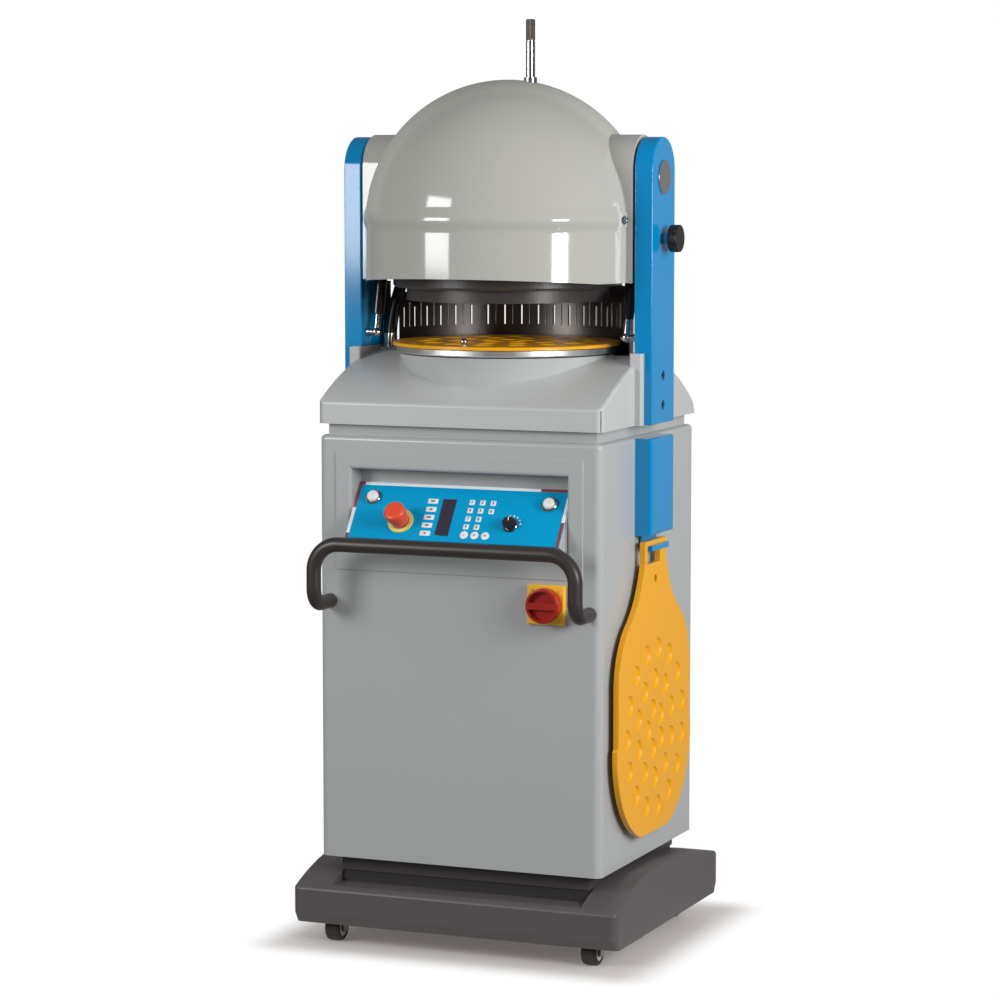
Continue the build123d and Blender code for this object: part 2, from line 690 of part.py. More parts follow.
def control_fascia():
    face_y = CABINET_FRONT - FASCIA_PROUD
    fascia = block((-FASCIA_X, FASCIA_X), (face_y, CABINET_FRONT), (FASCIA_LOW, FASCIA_HIGH))
    fascia = chamfer(fascia.faces().sort_by(Axis.Y)[0].edges(), FASCIA_EDGE)
    box_x = RECESS_X + FASCIA_WALL
    fascia += block((-box_x, box_x), (face_y, RECESS_BACK + FASCIA_WALL),
                    (RECESS_LOW - FASCIA_WALL, RECESS_HIGH + FASCIA_WALL))
    wedge = polygon((RECESS_BACK, RECESS_LOW), (CABINET_FRONT, RECESS_LOW), PANEL_LOW, PANEL_HIGH,
                    (RECESS_BACK, PANEL_HIGH[1]))
    air = polygon((RECESS_BACK, RECESS_LOW), (2 * face_y, RECESS_LOW), (2 * face_y, RECESS_HIGH),
                  (RECESS_BACK, RECESS_HIGH))
    fascia -= side_prism(air, -RECESS_X, RECESS_X)
    front_edges = fascia.faces().sort_by(Axis.Y)[0].edges()
    rim = front_edges.filter_by(lambda e: abs(e.center().X) < RECESS_X + FASCIA_WALL)
    rim = rim.filter_by(lambda e: RECESS_LOW < e.center().Z < RECESS_HIGH + FASCIA_WALL)
    fascia = fillet(rim, RECESS_ROUND)
    fascia += side_prism(wedge, -RECESS_X, RECESS_X)
    proud = block((PANEL_X, 2 * PANEL_X), (2 * face_y, face_y), (RECESS_LOW, RECESS_HIGH))
    fascia -= mirrored(proud)
    # The panel closes the console, which is open behind it for the switches
    bed = extrude(panel_frame() * Rectangle(2 * PANEL_X, panel_length()), -PANEL_SHEET)
    fascia -= bed
    well_x = PANEL_X - CONSOLE_RIM
    well_face = Rectangle(2 * well_x, panel_length() - 2 * CONSOLE_RIM)
    well = extrude(panel_frame(-PANEL_SHEET) * well_face, -2 * panel_length())
    well &= block((-well_x, well_x), (2 * face_y, CABINET_Y),
                  (RECESS_LOW + PANEL_SHEET, PANEL_HIGH[1] - PANEL_SHEET))
    return fascia - well


def control_panel():
    plate = extrude(panel_frame() * Rectangle(2 * PANEL_X, panel_length()), -PANEL_SHEET)
    for place in start_places():
        plate -= panel_bar(place, STEM_R + RUN_GAP, -PANEL_SHEET, 0)
    for place in (STOP_POS, TIMER_POS):
        plate -= panel_bar(place, STEM_R + RUN_GAP, -PANEL_SHEET, 0)
    return plate


def start_places():
    return [(-START_X, START_Y), (START_X, START_Y)]


def start_button_rings():
    rings = Part()
    for place in start_places():
        ring = panel_bar(place, START_RING_R, 0, START_RING_H)
        ring = chamfer(ring.edges().filter_by(GeomType.CIRCLE).sort_by(Axis.Y)[0], START_RING_H / 3)
        rings += ring - panel_bar(place, START_CAP_R + RUN_GAP, 0, START_RING_H)
    return rings


def start_button(place):
    cap = panel_bar(place, START_CAP_R, START_TRAVEL + PRESS_ROOM, START_RING_H + START_CAP_H)
    crown = cap.edges().filter_by(GeomType.CIRCLE).sort_by(Axis.Y)[0]
    cap = fillet(crown, START_CROWN)
    return cap + panel_bar(place, STEM_R, -STEM_BEHIND, START_RING_H)


def e_stop_collar():
    collar = panel_bar(STOP_POS, STOP_COLLAR_R, 0, STOP_COLLAR_H)
    return collar - panel_bar(STOP_POS, STOP_NECK_R + RUN_GAP, 0, STOP_COLLAR_H)


def e_stop_button():
    low = STOP_TRAVEL + PRESS_ROOM
    top = STOP_STAND_OFF + STOP_HEAD_H
    profile = polygon((0, low), (STOP_NECK_R, low), (STOP_NECK_R, STOP_STAND_OFF),
                      (STOP_HEAD_R, STOP_STAND_OFF + STOP_HEAD_EDGE), (STOP_HEAD_R, top), (0, top))
    head = revolve(Plane.XZ * profile, Axis.Z)
    head = fillet(head.edges().filter_by(GeomType.CIRCLE).sort_by(Axis.Z)[-1], STOP_CROWN)
    place = panel_frame().location * Pos(*STOP_POS)
    return place * head + panel_bar(STOP_POS, STEM_R, -STEM_BEHIND, low)


def timer_knob():
    knob = panel_bar(TIMER_POS, TIMER_SKIRT_R, RUN_GAP, TIMER_SKIRT_H)
    grip = panel_bar(TIMER_POS, TIMER_R, TIMER_SKIRT_H, TIMER_H)
    for i in range(TIMER_FLUTES):
        angle = 2 * math.pi * i / TIMER_FLUTES
        place = (TIMER_POS[0] + TIMER_R * math.cos(angle), TIMER_POS[1] + TIMER_R * math.sin(angle))
        grip -= panel_bar(place, TIMER_FLUTE_R, TIMER_SKIRT_H + TIMER_FLUTE_R, TIMER_H)
    return knob + grip + panel_bar(TIMER_POS, STEM_R, -STEM_BEHIND, RUN_GAP)


def main_switch_plate():
    half = SWITCH_PLATE / 2
    plate = block((SWITCH_X - half, SWITCH_X + half), (CABINET_FRONT - SWITCH_PLATE_H, CABINET_FRONT),
                  (SWITCH_Z - half, SWITCH_Z + half))
    plate = chamfer(plate.faces().sort_by(Axis.Y)[0].edges(), SWITCH_PLATE_H / 4)
    return plate - bar_y(SWITCH_X, SWITCH_Z, SWITCH_SHAFT_R + RUN_GAP,
                         CABINET_FRONT - SWITCH_PLATE_H, CABINET_FRONT)


def main_switch_handle():
    seat = CABINET_FRONT - SWITCH_PLATE_H - RUN_GAP
    face = seat - SWITCH_H
    disc = bar_y(SWITCH_X, SWITCH_Z, SWITCH_R, face, seat)
    disc = fillet(disc.edges().sort_by(Axis.Y)[0], SWITCH_EDGE)
    dish = bar_y(SWITCH_X, SWITCH_Z, SWITCH_R - SWITCH_RIM, face, face + SWITCH_DISH)
    grip = block((SWITCH_X - SWITCH_R, SWITCH_X + SWITCH_R), (face, face + SWITCH_DISH),
                 (SWITCH_Z - SWITCH_GRIP_W / 2, SWITCH_Z + SWITCH_GRIP_W / 2))
    disc -= dish - grip
    return disc + bar_y(SWITCH_X, SWITCH_Z, SWITCH_SHAFT_R, seat, CABINET_FRONT + 4 * CABINET_SHEET)


def push_handle():
    corners = [(-HANDLE_X, CABINET_FRONT, HANDLE_FOOT_Z), (-HANDLE_X, HANDLE_Y, HANDLE_FOOT_Z),
               (-HANDLE_X, HANDLE_Y, HANDLE_BAR_Z), (HANDLE_X, HANDLE_Y, HANDLE_BAR_Z),
               (HANDLE_X, HANDLE_Y, HANDLE_FOOT_Z), (HANDLE_X, CABINET_FRONT, HANDLE_FOOT_Z)]
    bends = [HANDLE_FOOT_BEND, HANDLE_TOP_BEND, HANDLE_TOP_BEND, HANDLE_FOOT_BEND]
    path = FilletPolyline(*corners, radius=bends)
    return sweep(Plane(path ^ 0) * Circle(HANDLE_R), path=path)


# Top cover, uprights and what is fixed to them


def cover_outline():
    """Side view of the cover: lip, rising front, crest and falling back."""
    line = Polyline(COVER_REAR_LOW, (COVER_REAR, COVER_LOW), (COVER_FRONT, COVER_LOW),
                    (COVER_FRONT, COVER_LIP_TOP))
    line += ThreePointArc((COVER_FRONT, COVER_LIP_TOP), COVER_FRONT_MID, COVER_CREST)
    line += ThreePointArc(COVER_CREST, COVER_REAR_MID, COVER_REAR_LOW)
    return make_face(line)


def cover_block():
    """The closed outer form of the cover, before it is hollowed."""
    body = side_prism(cover_outline(), -COVER_X, COVER_X)
    corners = body.edges().filter_by(Axis.Z).filter_by(lambda e: e.center().Y < 0)
    body = fillet(corners, COVER_CORNER)
    soft = body.edges().filter_by(lambda e: e.center().Z > COVER_LIP_TOP - COVER_EDGE)
    body = fillet(soft, COVER_EDGE)
    drum = Pos(0, AXIS_Y, (DRUM_LOW + DRUM_TOP) / 2) * Cone(DRUM_R_LOW, DRUM_R_HIGH, DRUM_TOP - DRUM_LOW)
    return body + drum


def top_cover():
    inner = side_prism(offset(cover_outline(), -COVER_SHEET), COVER_SHEET - COVER_X, COVER_X - COVER_SHEET)
    inner += Pos(0, AXIS_Y, (DRUM_LOW + DRUM_TOP) / 2 - COVER_SHEET) * Cone(
        DRUM_R_LOW - COVER_SHEET, DRUM_R_HIGH - COVER_SHEET, DRUM_TOP - DRUM_LOW)
    inner += block((COVER_SHEET - COVER_X, COVER_X - COVER_SHEET),
                   (COVER_FRONT + COVER_SHEET, COVER_REAR - COVER_SHEET),
                   (COVER_LOW, COVER_LOW + 2 * COVER_SHEET))
    cover = cover_block() - inner
    cover -= bar_z(0, AXIS_Y, DRUM_MOUTH_R, COVER_LOW, PILASTER_TOP)
    pilaster_y = (UPRIGHT_FRONT - PILASTER_MARGIN, UPRIGHT_REAR + PILASTER_MARGIN)
    pilaster = block((PILASTER_INNER_X, PILASTER_OUTER_X), pilaster_y, (COVER_LOW, PILASTER_TOP))
    pilaster = fillet(pilaster.edges().filter_by(Axis.Z), PILASTER_ROUND)
    pocket = block((UPRIGHT_INNER_X, UPRIGHT_OUTER_X), (UPRIGHT_FRONT, UPRIGHT_REAR),
                   (COVER_LOW, UPRIGHT_TOP))
    pilaster -= pocket
    for z in BOLT_Z:
        pilaster -= bar_x(AXIS_Y, z, BOLT_R, PILASTER_INNER_X, UPRIGHT_INNER_X)
    cover = cover - mirrored(pocket) + mirrored(pilaster)
    hose_pad = block(HOSE_PAD_X, HOSE_PAD_Y, HOSE_PAD_Z)
    return cover + hose_pad


def upright(side):
    centre = UPRIGHT_TOP - UPRIGHT_D / 2
    outline = Polyline((UPRIGHT_REAR, centre), (UPRIGHT_REAR, UPRIGHT_LOW), (UPRIGHT_FRONT, UPRIGHT_LOW),
                       (UPRIGHT_FRONT, centre))
    outline += ThreePointArc((UPRIGHT_FRONT, centre), (AXIS_Y, UPRIGHT_TOP), (UPRIGHT_REAR, centre))
    column = side_prism(make_face(outline), UPRIGHT_INNER_X, UPRIGHT_OUTER_X)
    rims = column.faces().filter_by(Axis.X).edges()
    column = fillet(rims, UPRIGHT_EDGE)
    column -= bar_x(AXIS_Y, PIVOT_Z, PIVOT_R, UPRIGHT_INNER_X, UPRIGHT_OUTER_X)
    disc_seat = UPRIGHT_OUTER_X - PIVOT_DISC_H + PIVOT_PROUD
    column -= bar_x(AXIS_Y, PIVOT_Z, PIVOT_DISC_R, disc_seat, UPRIGHT_OUTER_X)
    for z in BOLT_Z:
        column -= bar_x(AXIS_Y, z, BOLT_R, UPRIGHT_INNER_X, UPRIGHT_OUTER_X)
        column -= bar_x(AXIS_Y, z, BOLT_HEAD_R, UPRIGHT_OUTER_X - BOLT_HEAD_H - BOLT_SUNK, UPRIGHT_OUTER_X)
    column -= bar_x(*SPRING_LOW, SPRING_NECK_R, UPRIGHT_INNER_X, UPRIGHT_INNER_X + UPRIGHT_T / 2)
    if side > 0:
        return column - bar_x(AXIS_Y, PLUNGER_Z, PLUNGER_SLEEVE_R, UPRIGHT_INNER_X, UPRIGHT_OUTER_X)
    return mirror(column, about=Plane.YZ)


def upright_bolts():
    bolts = Part()
    head_end = UPRIGHT_OUTER_X - BOLT_SUNK
    for z in BOLT_Z:
        bolt = bar_x(AXIS_Y, z, BOLT_HEAD_R, head_end - BOLT_HEAD_H, head_end)
        bolt += bar_x(AXIS_Y, z, BOLT_R, BRACKET_INNER_X, head_end - BOLT_HEAD_H)
        hexagon = Plane.YZ.offset(head_end) * Pos(AXIS_Y, z) * RegularPolygon(BOLT_KEY_R, 6)
        key = extrude(hexagon, -BOLT_HEAD_H / 2)
        bolts += mirrored(bolt - key)
    return bolts


def pivot_pins():
    disc_end = UPRIGHT_OUTER_X + PIVOT_PROUD
    pin = bar_x(AXIS_Y, PIVOT_Z, PIVOT_DISC_R, disc_end - PIVOT_DISC_H, disc_end)
    pin = chamfer(pin.edges().sort_by(Axis.X)[-1], PIVOT_PROUD / 3)
    pin += bar_x(AXIS_Y, PIVOT_Z, PIVOT_R, ARM_INNER_X, disc_end - PIVOT_DISC_H)
    return mirrored(pin)


def plunger_body():
    collar = Plane.YZ.offset(UPRIGHT_OUTER_X) * Pos(AXIS_Y, PLUNGER_Z) * RegularPolygon(PLUNGER_HEX_R, 6)
    sleeve = bar_x(AXIS_Y, PLUNGER_Z, PLUNGER_SLEEVE_R, UPRIGHT_INNER_X, UPRIGHT_OUTER_X)
    sleeve += extrude(collar, PLUNGER_COLLAR_H)
    return sleeve - bar_x(AXIS_Y, PLUNGER_Z, PLUNGER_R + RUN_GAP, UPRIGHT_INNER_X,
                          UPRIGHT_OUTER_X + PLUNGER_COLLAR_H)


def plunger_knob():
    start = UPRIGHT_OUTER_X + PLUNGER_COLLAR_H + RUN_GAP
    knob = bar_x(AXIS_Y, PLUNGER_Z, PLUNGER_KNOB_R, start, start + PLUNGER_KNOB_H)
    knob = fillet(knob.edges().filter_by(GeomType.CIRCLE), PLUNGER_KNOB_H / 6)
    for i in range(PLUNGER_LOBES):
        angle = 2 * math.pi * (i + 0.5) / PLUNGER_LOBES
        y = AXIS_Y + PLUNGER_SCALLOP_AT * math.cos(angle)
        z = PLUNGER_Z + PLUNGER_SCALLOP_AT * math.sin(angle)
        knob -= bar_x(y, z, PLUNGER_SCALLOP_R, start, start + PLUNGER_KNOB_H)
    return knob + bar_x(AXIS_Y, PLUNGER_Z, PLUNGER_R, UPRIGHT_INNER_X - PLUNGER_NOSE, start)


def splash_guard():
    band = Circle(GUARD_R) - Circle(GUARD_R - GUARD_SHEET)
    spread = 2 * GUARD_R
    half = math.radians(GUARD_HALF_ANGLE)
    sector = polygon((0, 0), (spread * math.sin(half), spread * math.cos(half)), (spread, 2 * spread),
                     (-spread, 2 * spread), (-spread * math.sin(half), spread * math.cos(half)))
    guard = extrude(Pos(0, AXIS_Y, GUARD_LOW) * (band & sector), GUARD_TOP - GUARD_LOW)
    for i in range(GUARD_SLOTS):
        turn = GUARD_SLOT_ANGLE * (2 * i / (GUARD_SLOTS - 1) - 1)
        slot = block((-GUARD_SLOT_W / 2, GUARD_SLOT_W / 2), (GUARD_R / 2, 2 * GUARD_R),
                     (GUARD_SLOT_LOW, GUARD_SLOT_HIGH))
        guard -= Pos(0, AXIS_Y, 0) * Rot(0, 0, turn) * slot
    return guard - cover_block()


def plate_holder():
    box = block((CABINET_X, CABINET_X + HOLDER_OUT), (HOLDER_FRONT, HOLDER_REAR), (HOLDER_LOW, HOLDER_HIGH))
    box = fillet(box.faces().sort_by(Axis.X)[-1].edges(), HOLDER_EDGE)
    strip_x = CABINET_X + HOOK_STAND_OFF
    strip = block((strip_x, strip_x + HOOK_SHEET), (HOOK_FRONT, HOOK_REAR), (HOOK_BAR_LOW, HOLDER_LOW))
    arm = block((strip_x, HOOK_BAR_OUT), (HOOK_BAR_FRONT, HOOK_BAR_REAR),
                (HOOK_BAR_LOW, HOOK_BAR_LOW + HOOK_BAR_H))
    return box + strip + arm


def spare_outline():
    """Outline of the spare plate in Y and Z: neck, shoulders, step and foot."""
    side = Polyline((0, SPARE_TOP), (SPARE_NECK[0], SPARE_TOP), SPARE_NECK)
    side += ThreePointArc(SPARE_NECK, SPARE_WAIST, SPARE_TURN)
    side += ThreePointArc(SPARE_TURN, SPARE_SHOULDER, SPARE_SIDE)
    step_y = SPARE_SIDE[0] + SPARE_STEP
    side += Polyline(SPARE_SIDE, (SPARE_SIDE[0], SPARE_STEP_Z), (step_y, SPARE_STEP_Z - SPARE_STEP),
                     (step_y, SPARE_SIDE_LOW))
    side += ThreePointArc((step_y, SPARE_SIDE_LOW), SPARE_HAUNCH, SPARE_FOOT)
    side += Polyline(SPARE_FOOT, (0, SPARE_FOOT[1]), (0, SPARE_TOP))
    half = make_face(side)
    return Pos(SPARE_Y, 0) * (half + mirror(half, about=Plane.YZ))


def cup_places():
    """Middles of the dough cups on three rings, as offsets from the plate's middle."""
    places = []
    for count, radius in zip(CUP_COUNTS, CUP_RADII):
        for i in range(count):
            angle = 2 * math.pi * (i + 0.5) / count
            places.append((radius * math.cos(angle), radius * math.sin(angle)))
    return places


def cup():
    """A shallow dish, open upwards at height zero."""
    return Pos(0, 0, -CUP_DEPTH / 2) * Cone(CUP_R - CUP_DEPTH, CUP_R, CUP_DEPTH)


def spare_plate():
    plate = side_prism(spare_outline(), SPARE_X, SPARE_X + SPARE_T)
    through = (SPARE_X, SPARE_X + SPARE_T)
    channel_top = HOOK_BAR_LOW + HOOK_BAR_H + SPARE_GAP
    channel_low = HOOK_BAR_LOW - SPARE_GAP
    plate -= block(through, (SPARE_SLOT_FRONT, SPARE_Y + 2 * SPARE_NECK[0]), (channel_low, channel_top))
    plate -= block(through, (SPARE_SLOT_FRONT, SPARE_SLOT_REAR), (SPARE_SLOT_LOW, channel_top))
    plate -= bar_x(SPARE_Y, SPARE_HOLE_Z, SPARE_HOLE_R, *through)
    face = Pos(SPARE_X + SPARE_T, SPARE_Y, SPARE_CENTRE_Z) * Rot(0, 90, 0)
    for y, z in cup_places():
        plate -= face * Pos(z, y, 0) * cup()
    return plate


# Table and its drive


def table_centre():
    """The table at rest stands one orbit radius in front of the shaft."""
    return 0, AXIS_Y - ORBIT_R


def table_disc():
    disc = bar_z(*table_centre(), TABLE_R, TABLE_LOW, TABLE_TOP)
    disc = chamfer(disc.edges().filter_by(GeomType.CIRCLE), TABLE_EDGE)
    disc += bar_z(*table_centre(), TABLE_HUB_R, TABLE_HUB_LOW, TABLE_LOW)
    return disc - bar_z(*table_centre(), CRANK_R + RUN_GAP, TABLE_HUB_LOW, CRANK_TOP)


def moulding_plate():
    plate_top = TABLE_TOP + PLATE_T
    plate = bar_z(*table_centre(), PLATE_R, TABLE_TOP, plate_top)
    plate = fillet(plate.edges().filter_by(GeomType.CIRCLE).sort_by(Axis.Z)[-1], PLATE_T / 3)
    for x, y in cup_places():
        plate -= Pos(table_centre()[0] + x, table_centre()[1] + y, plate_top) * cup()
    return plate


def plate_knob():
    x, y = table_centre()
    foot = TABLE_TOP + PLATE_T
    ball_z = foot + STUD_H - STUD_BALL_R
    knob = Pos(x, y - STUD_R, ball_z) * Sphere(STUD_BALL_R)
    return knob + bar_z(x, y - STUD_R, STUD_NECK_R, foot, ball_z)


def eccentric_shaft():
    shaft = bar_z(0, AXIS_Y, SHAFT_R, SHAFT_LOW, SHAFT_FLANGE_Z)
    shaft += bar_z(0, AXIS_Y, SHAFT_FLANGE_R, SHAFT_FLANGE_Z, SHAFT_FLANGE_Z + SHAFT_FLANGE_H)
    return shaft + bar_z(*table_centre(), CRANK_R, SHAFT_FLANGE_Z + SHAFT_FLANGE_H, CRANK_TOP)


def bearing_unit():
    seat = CABINET_TOP + DECK_PLATE
    housing = bar_z(0, AXIS_Y, HOUSING_R, HOUSING_LOW, HOUSING_TOP)
    housing += bar_z(0, AXIS_Y, HOUSING_FLANGE_R, seat, seat + HOUSING_FLANGE_H)
    return housing - bar_z(0, AXIS_Y, SHAFT_R + RUN_GAP, HOUSING_LOW, HOUSING_TOP)


def pulley(y, radius, bore):
    """A flat-belt pulley with a dished web."""
    top = PULLEY_LOW + PULLEY_H
    wheel = bar_z(0, y, radius, PULLEY_LOW, top)
    if bore > 0:
        dish = bar_z(0, y, radius - PULLEY_H / 3, top - PULLEY_H / 3, top)
        wheel -= dish - bar_z(0, y, bore + PULLEY_H / 3, top - PULLEY_H / 3, top)
        wheel -= bar_z(0, y, bore, PULLEY_LOW, top)
    return wheel


def driven_pulley():
    return pulley(AXIS_Y, DRIVEN_R, SHAFT_R)


def motor_pulley():
    shaft_low = motor_top() - MOTOR_L / 2
    return pulley(MOTOR_Y, MOTOR_PULLEY_R, 0) + bar_z(0, MOTOR_Y, MOTOR_SHAFT_R, shaft_low, PULLEY_LOW)


def motor_top():
    """The motor's flange hangs under the motor plate."""
    return PULLEY_LOW - PULLEY_H / 4 - DECK_PLATE


def drive_motor():
    top = motor_top()
    motor = bar_z(0, MOTOR_Y, MOTOR_FLANGE_R, top - MOTOR_FLANGE_H, top)
    motor += bar_z(0, MOTOR_Y, MOTOR_R - MOTOR_FLANGE_H / 2, top - MOTOR_L, top - MOTOR_FLANGE_H)
    fin_pitch = (MOTOR_L - 4 * MOTOR_FLANGE_H) / MOTOR_FINS
    for i in range(MOTOR_FINS):
        low = top - MOTOR_L + MOTOR_FLANGE_H + i * fin_pitch
        motor += bar_z(0, MOTOR_Y, MOTOR_R, low, low + fin_pitch / 2)
    return motor - bar_z(0, MOTOR_Y, MOTOR_SHAFT_R + RUN_GAP, top - MOTOR_L / 2, top)


def drive_belt():
    def loop(gap):
        around = Pos(0, AXIS_Y) * Circle(DRIVEN_R + gap) + Pos(0, MOTOR_Y) * Circle(MOTOR_PULLEY_R + gap)
        return make_hull(around.edges())
    band = loop(BELT_GAP + BELT_T) - loop(BELT_GAP)
    return extrude(Pos(0, 0, PULLEY_LOW + PULLEY_H / 6) * band, PULLEY_H * 2 / 3)


def hydraulic_unit():
    floor = SHELF_Z + SHELF_SHEET
    lid = floor + TANK_H
    unit = block(TANK_X, TANK_Y, (floor, lid))
    unit = fillet(unit.edges().filter_by(Axis.Z), TANK_LID_LAP)
    unit += block((TANK_X[0] - TANK_LID_LAP, TANK_X[1] + TANK_LID_LAP),
                  (TANK_Y[0] - TANK_LID_LAP, TANK_Y[1] + TANK_LID_LAP), (lid, lid + TANK_LID))
    pump_x = TANK_X[0] + 2 * PUMP_R
    pump_y = sum(TANK_Y) / 2
    pump_low = lid + TANK_LID
    unit += bar_z(pump_x, pump_y, PUMP_R, pump_low, pump_low + PUMP_H)
    valve_x = TANK_X[1] - VALVE[0]
    return unit + block((valve_x, valve_x + VALVE[0]), (pump_y - VALVE[1] / 2, pump_y + VALVE[1] / 2),
                        (pump_low, pump_low + VALVE[2]))


# Press: ring, segments, knives and rods


def polar(radius, degrees):
    """A point around the press axis."""
    angle = math.radians(degrees)
    return radius * math.cos(angle), AXIS_Y + radius * math.sin(angle)


def knife_rod_places():
    radius = SEGMENT_EDGES[1]
    return [polar(radius, 360 * i / KNIFE_ROD_COUNT) for i in range(KNIFE_ROD_COUNT)]


def press_ring():
    cap_low = RING_TOP - RING_CAP
    soft = (RING_SHOULDER - RING_STEP) / 6
    profile = polygon((0, RING_TOP), (RING_CROWN_R, RING_TOP), (RING_RIM_R, RING_SHOULDER),
                      (RING_RIM_R, RING_STEP + soft), (RING_RIM_R - soft, RING_STEP),
                      (RING_BAND_R, RING_STEP), (RING_BAND_R, RING_LOW), (RING_BORE_R, RING_LOW),
                      (RING_BORE_R, cap_low), (0, cap_low))
    ring = turned(profile)
    for x, y in knife_rod_places():
        ring -= bar_z(x, y, KNIFE_ROD_R + RUN_GAP, cap_low, RING_TOP)
    return ring


def segment_rings():
    """Each ring of segments: how many, and its inner and outer radius."""
    return zip(SEGMENT_COUNTS, SEGMENT_EDGES, SEGMENT_EDGES[1:])


def knife_slots(width):
    """Plan of the knife star: two rings and the radial blades between them."""
    plan = Circle(KNIFE_ROD_R + width / 2)
    for count, inner, outer in segment_rings():
        start = 0 if inner < KNIFE_ROD_R * 2 else inner
        for i in range(count):
            blade = Pos((start + outer) / 2, 0) * Rectangle(outer - start, width)
            plan += Rot(0, 0, 360 * i / count) * blade
    for outer in SEGMENT_EDGES[1:-1]:
        plan += Circle(outer + width / 2) - Circle(outer - width / 2)
    return Pos(0, AXIS_Y) * plan


def knife_star():
    star = extrude(Pos(0, 0, KNIFE_LOW) * knife_slots(KNIFE_T), KNIFE_H)
    for x, y in knife_rod_places():
        star += bar_z(x, y, KNIFE_ROD_R, KNIFE_LOW + KNIFE_H - KNIFE_ROD_R, KNIFE_ROD_TOP)
    return star


def pressing_segments():
    plate_top = RING_TOP - RING_CAP
    plate_low = plate_top - SEGMENT_TOP_PLATE
    middle = Pos(0, AXIS_Y)
    face = middle * Circle(SEGMENT_PLATE_R) - knife_slots(KNIFE_T + 2 * KNIFE_GAP)
    segments = extrude(Pos(0, 0, SEGMENT_LOW) * face, SEGMENT_H)
    segments += extrude(Pos(0, AXIS_Y, plate_low) * Circle(SEGMENT_PLATE_R), SEGMENT_TOP_PLATE)
    for count, inner, outer in segment_rings():
        for i in range(count):
            turn = 360 * (i + 0.5) / count
            post = Pos((inner + outer) / 2, 0, (SEGMENT_LOW + plate_low) / 2) * Box(
                SEGMENT_POST, SEGMENT_POST, plate_low - SEGMENT_LOW)
            segments += Pos(0, AXIS_Y, 0) * Rot(0, 0, turn) * post
    for x, y in knife_rod_places():
        segments -= bar_z(x, y, KNIFE_ROD_R + KNIFE_GAP, plate_low, plate_top)
    return segments


def press_rods():
    piston = bar_z(0, AXIS_Y, PISTON_R, RING_TOP, PISTON_TOP)
    grip_low = GUIDE_TOP - GUIDE_GRIP_H
    guide = bar_z(GUIDE_X, AXIS_Y, GUIDE_R, RING_TOP, GUIDE_TOP)
    guide = chamfer(guide.edges().filter_by(GeomType.CIRCLE).sort_by(Axis.Z)[-1], 2 * GUIDE_GROOVE)
    groove = bar_z(GUIDE_X, AXIS_Y, GUIDE_R, grip_low, grip_low + 2 * GUIDE_GROOVE)
    return piston + (guide - (groove - bar_z(GUIDE_X, AXIS_Y, GUIDE_R - GUIDE_GROOVE, grip_low, GUIDE_TOP)))


# Tilting head


def head_yoke():
    arm = bar_x(AXIS_Y, PIVOT_Z, ARM_BOSS_R, ARM_INNER_X, ARM_OUTER_X)
    arm += block((ARM_INNER_X, ARM_OUTER_X), (ARM_FRONT, ARM_REAR), (BRIDGE_LOW, PIVOT_Z))
    arm += bar_x(*SPRING_PIN, SPRING_PIN_R, ARM_INNER_X, SPRING_X + SPRING_EYE_W / 2 + SPRING_PIN_R / 2)
    lug = block((ARM_INNER_X, HOOD_R), (LUG_FRONT, ARM_FRONT + SPRING_PIN_R), (LUG_LOW, LUG_HIGH))
    arm += lug & hood_form(HOOD_SHEET)
    arm -= bar_x(AXIS_Y, PIVOT_Z, PIVOT_R + RUN_GAP, ARM_INNER_X, ARM_OUTER_X)
    yoke = mirrored(arm)
    bridge = (BRIDGE_LOW, BRIDGE_LOW + BRIDGE_H)
    yoke += block((-ARM_OUTER_X, ARM_OUTER_X), (BRIDGE_FRONT, BRIDGE_REAR), bridge)
    yoke += block((-ARM_OUTER_X, -ARM_INNER_X), (ARM_REAR, HOSE_SHELF_REAR), HOSE_SHELF_Z)
    yoke -= bar_z(0, AXIS_Y, PISTON_R + RUN_GAP, *bridge)
    yoke -= bar_z(GUIDE_X, AXIS_Y, GUIDE_R + RUN_GAP, *bridge)
    for screw in hood_screw_bars(HOOD_SCREW_R / 2, HOOD_R - HOOD_SCREW_LONG, HOOD_R):
        yoke -= screw
    return yoke


def press_cylinder():
    seat = BRIDGE_LOW + BRIDGE_H
    barrel = bar_z(0, AXIS_Y, CYLINDER_R, seat, CYLINDER_TOP)
    barrel = chamfer(barrel.edges().filter_by(GeomType.CIRCLE).sort_by(Axis.Z)[-1], CYLINDER_R / 6)
    barrel += bar_z(0, AXIS_Y, CYLINDER_FLANGE_R, seat, seat + CYLINDER_FLANGE_H)
    cap = CYLINDER_TOP - CYLINDER_FLANGE_H
    barrel += bar_z(0, AXIS_Y, CYLINDER_FLANGE_R, cap - CYLINDER_FLANGE_H, cap)
    return barrel - bar_z(0, AXIS_Y, PISTON_R + RUN_GAP, seat, PISTON_TOP + CYLINDER_FLANGE_H)


def hood_form(skin):
    """The closed bell with its cheeks, drawn in all round by skin."""
    radius = HOOD_R - skin
    low = HOOD_SIDE_LOW
    corner = radius * math.sqrt(0.5)
    profile = Polyline((radius, HOOD_Z), (radius, low), (0, low), (0, HOOD_Z + radius))
    profile += ThreePointArc((0, HOOD_Z + radius), (corner, HOOD_Z + corner), (radius, HOOD_Z))
    bell = turned(make_face(profile))
    centre = CHEEK_TOP - CHEEK_R
    half = CHEEK_R - skin
    cheek = Polyline((AXIS_Y + half, centre), (AXIS_Y + half, low), (AXIS_Y - half, low),
                     (AXIS_Y - half, centre))
    cheek += ThreePointArc((AXIS_Y - half, centre), (AXIS_Y, centre + half), (AXIS_Y + half, centre))
    return bell + side_prism(make_face(cheek), skin - CHEEK_X, CHEEK_X - skin)


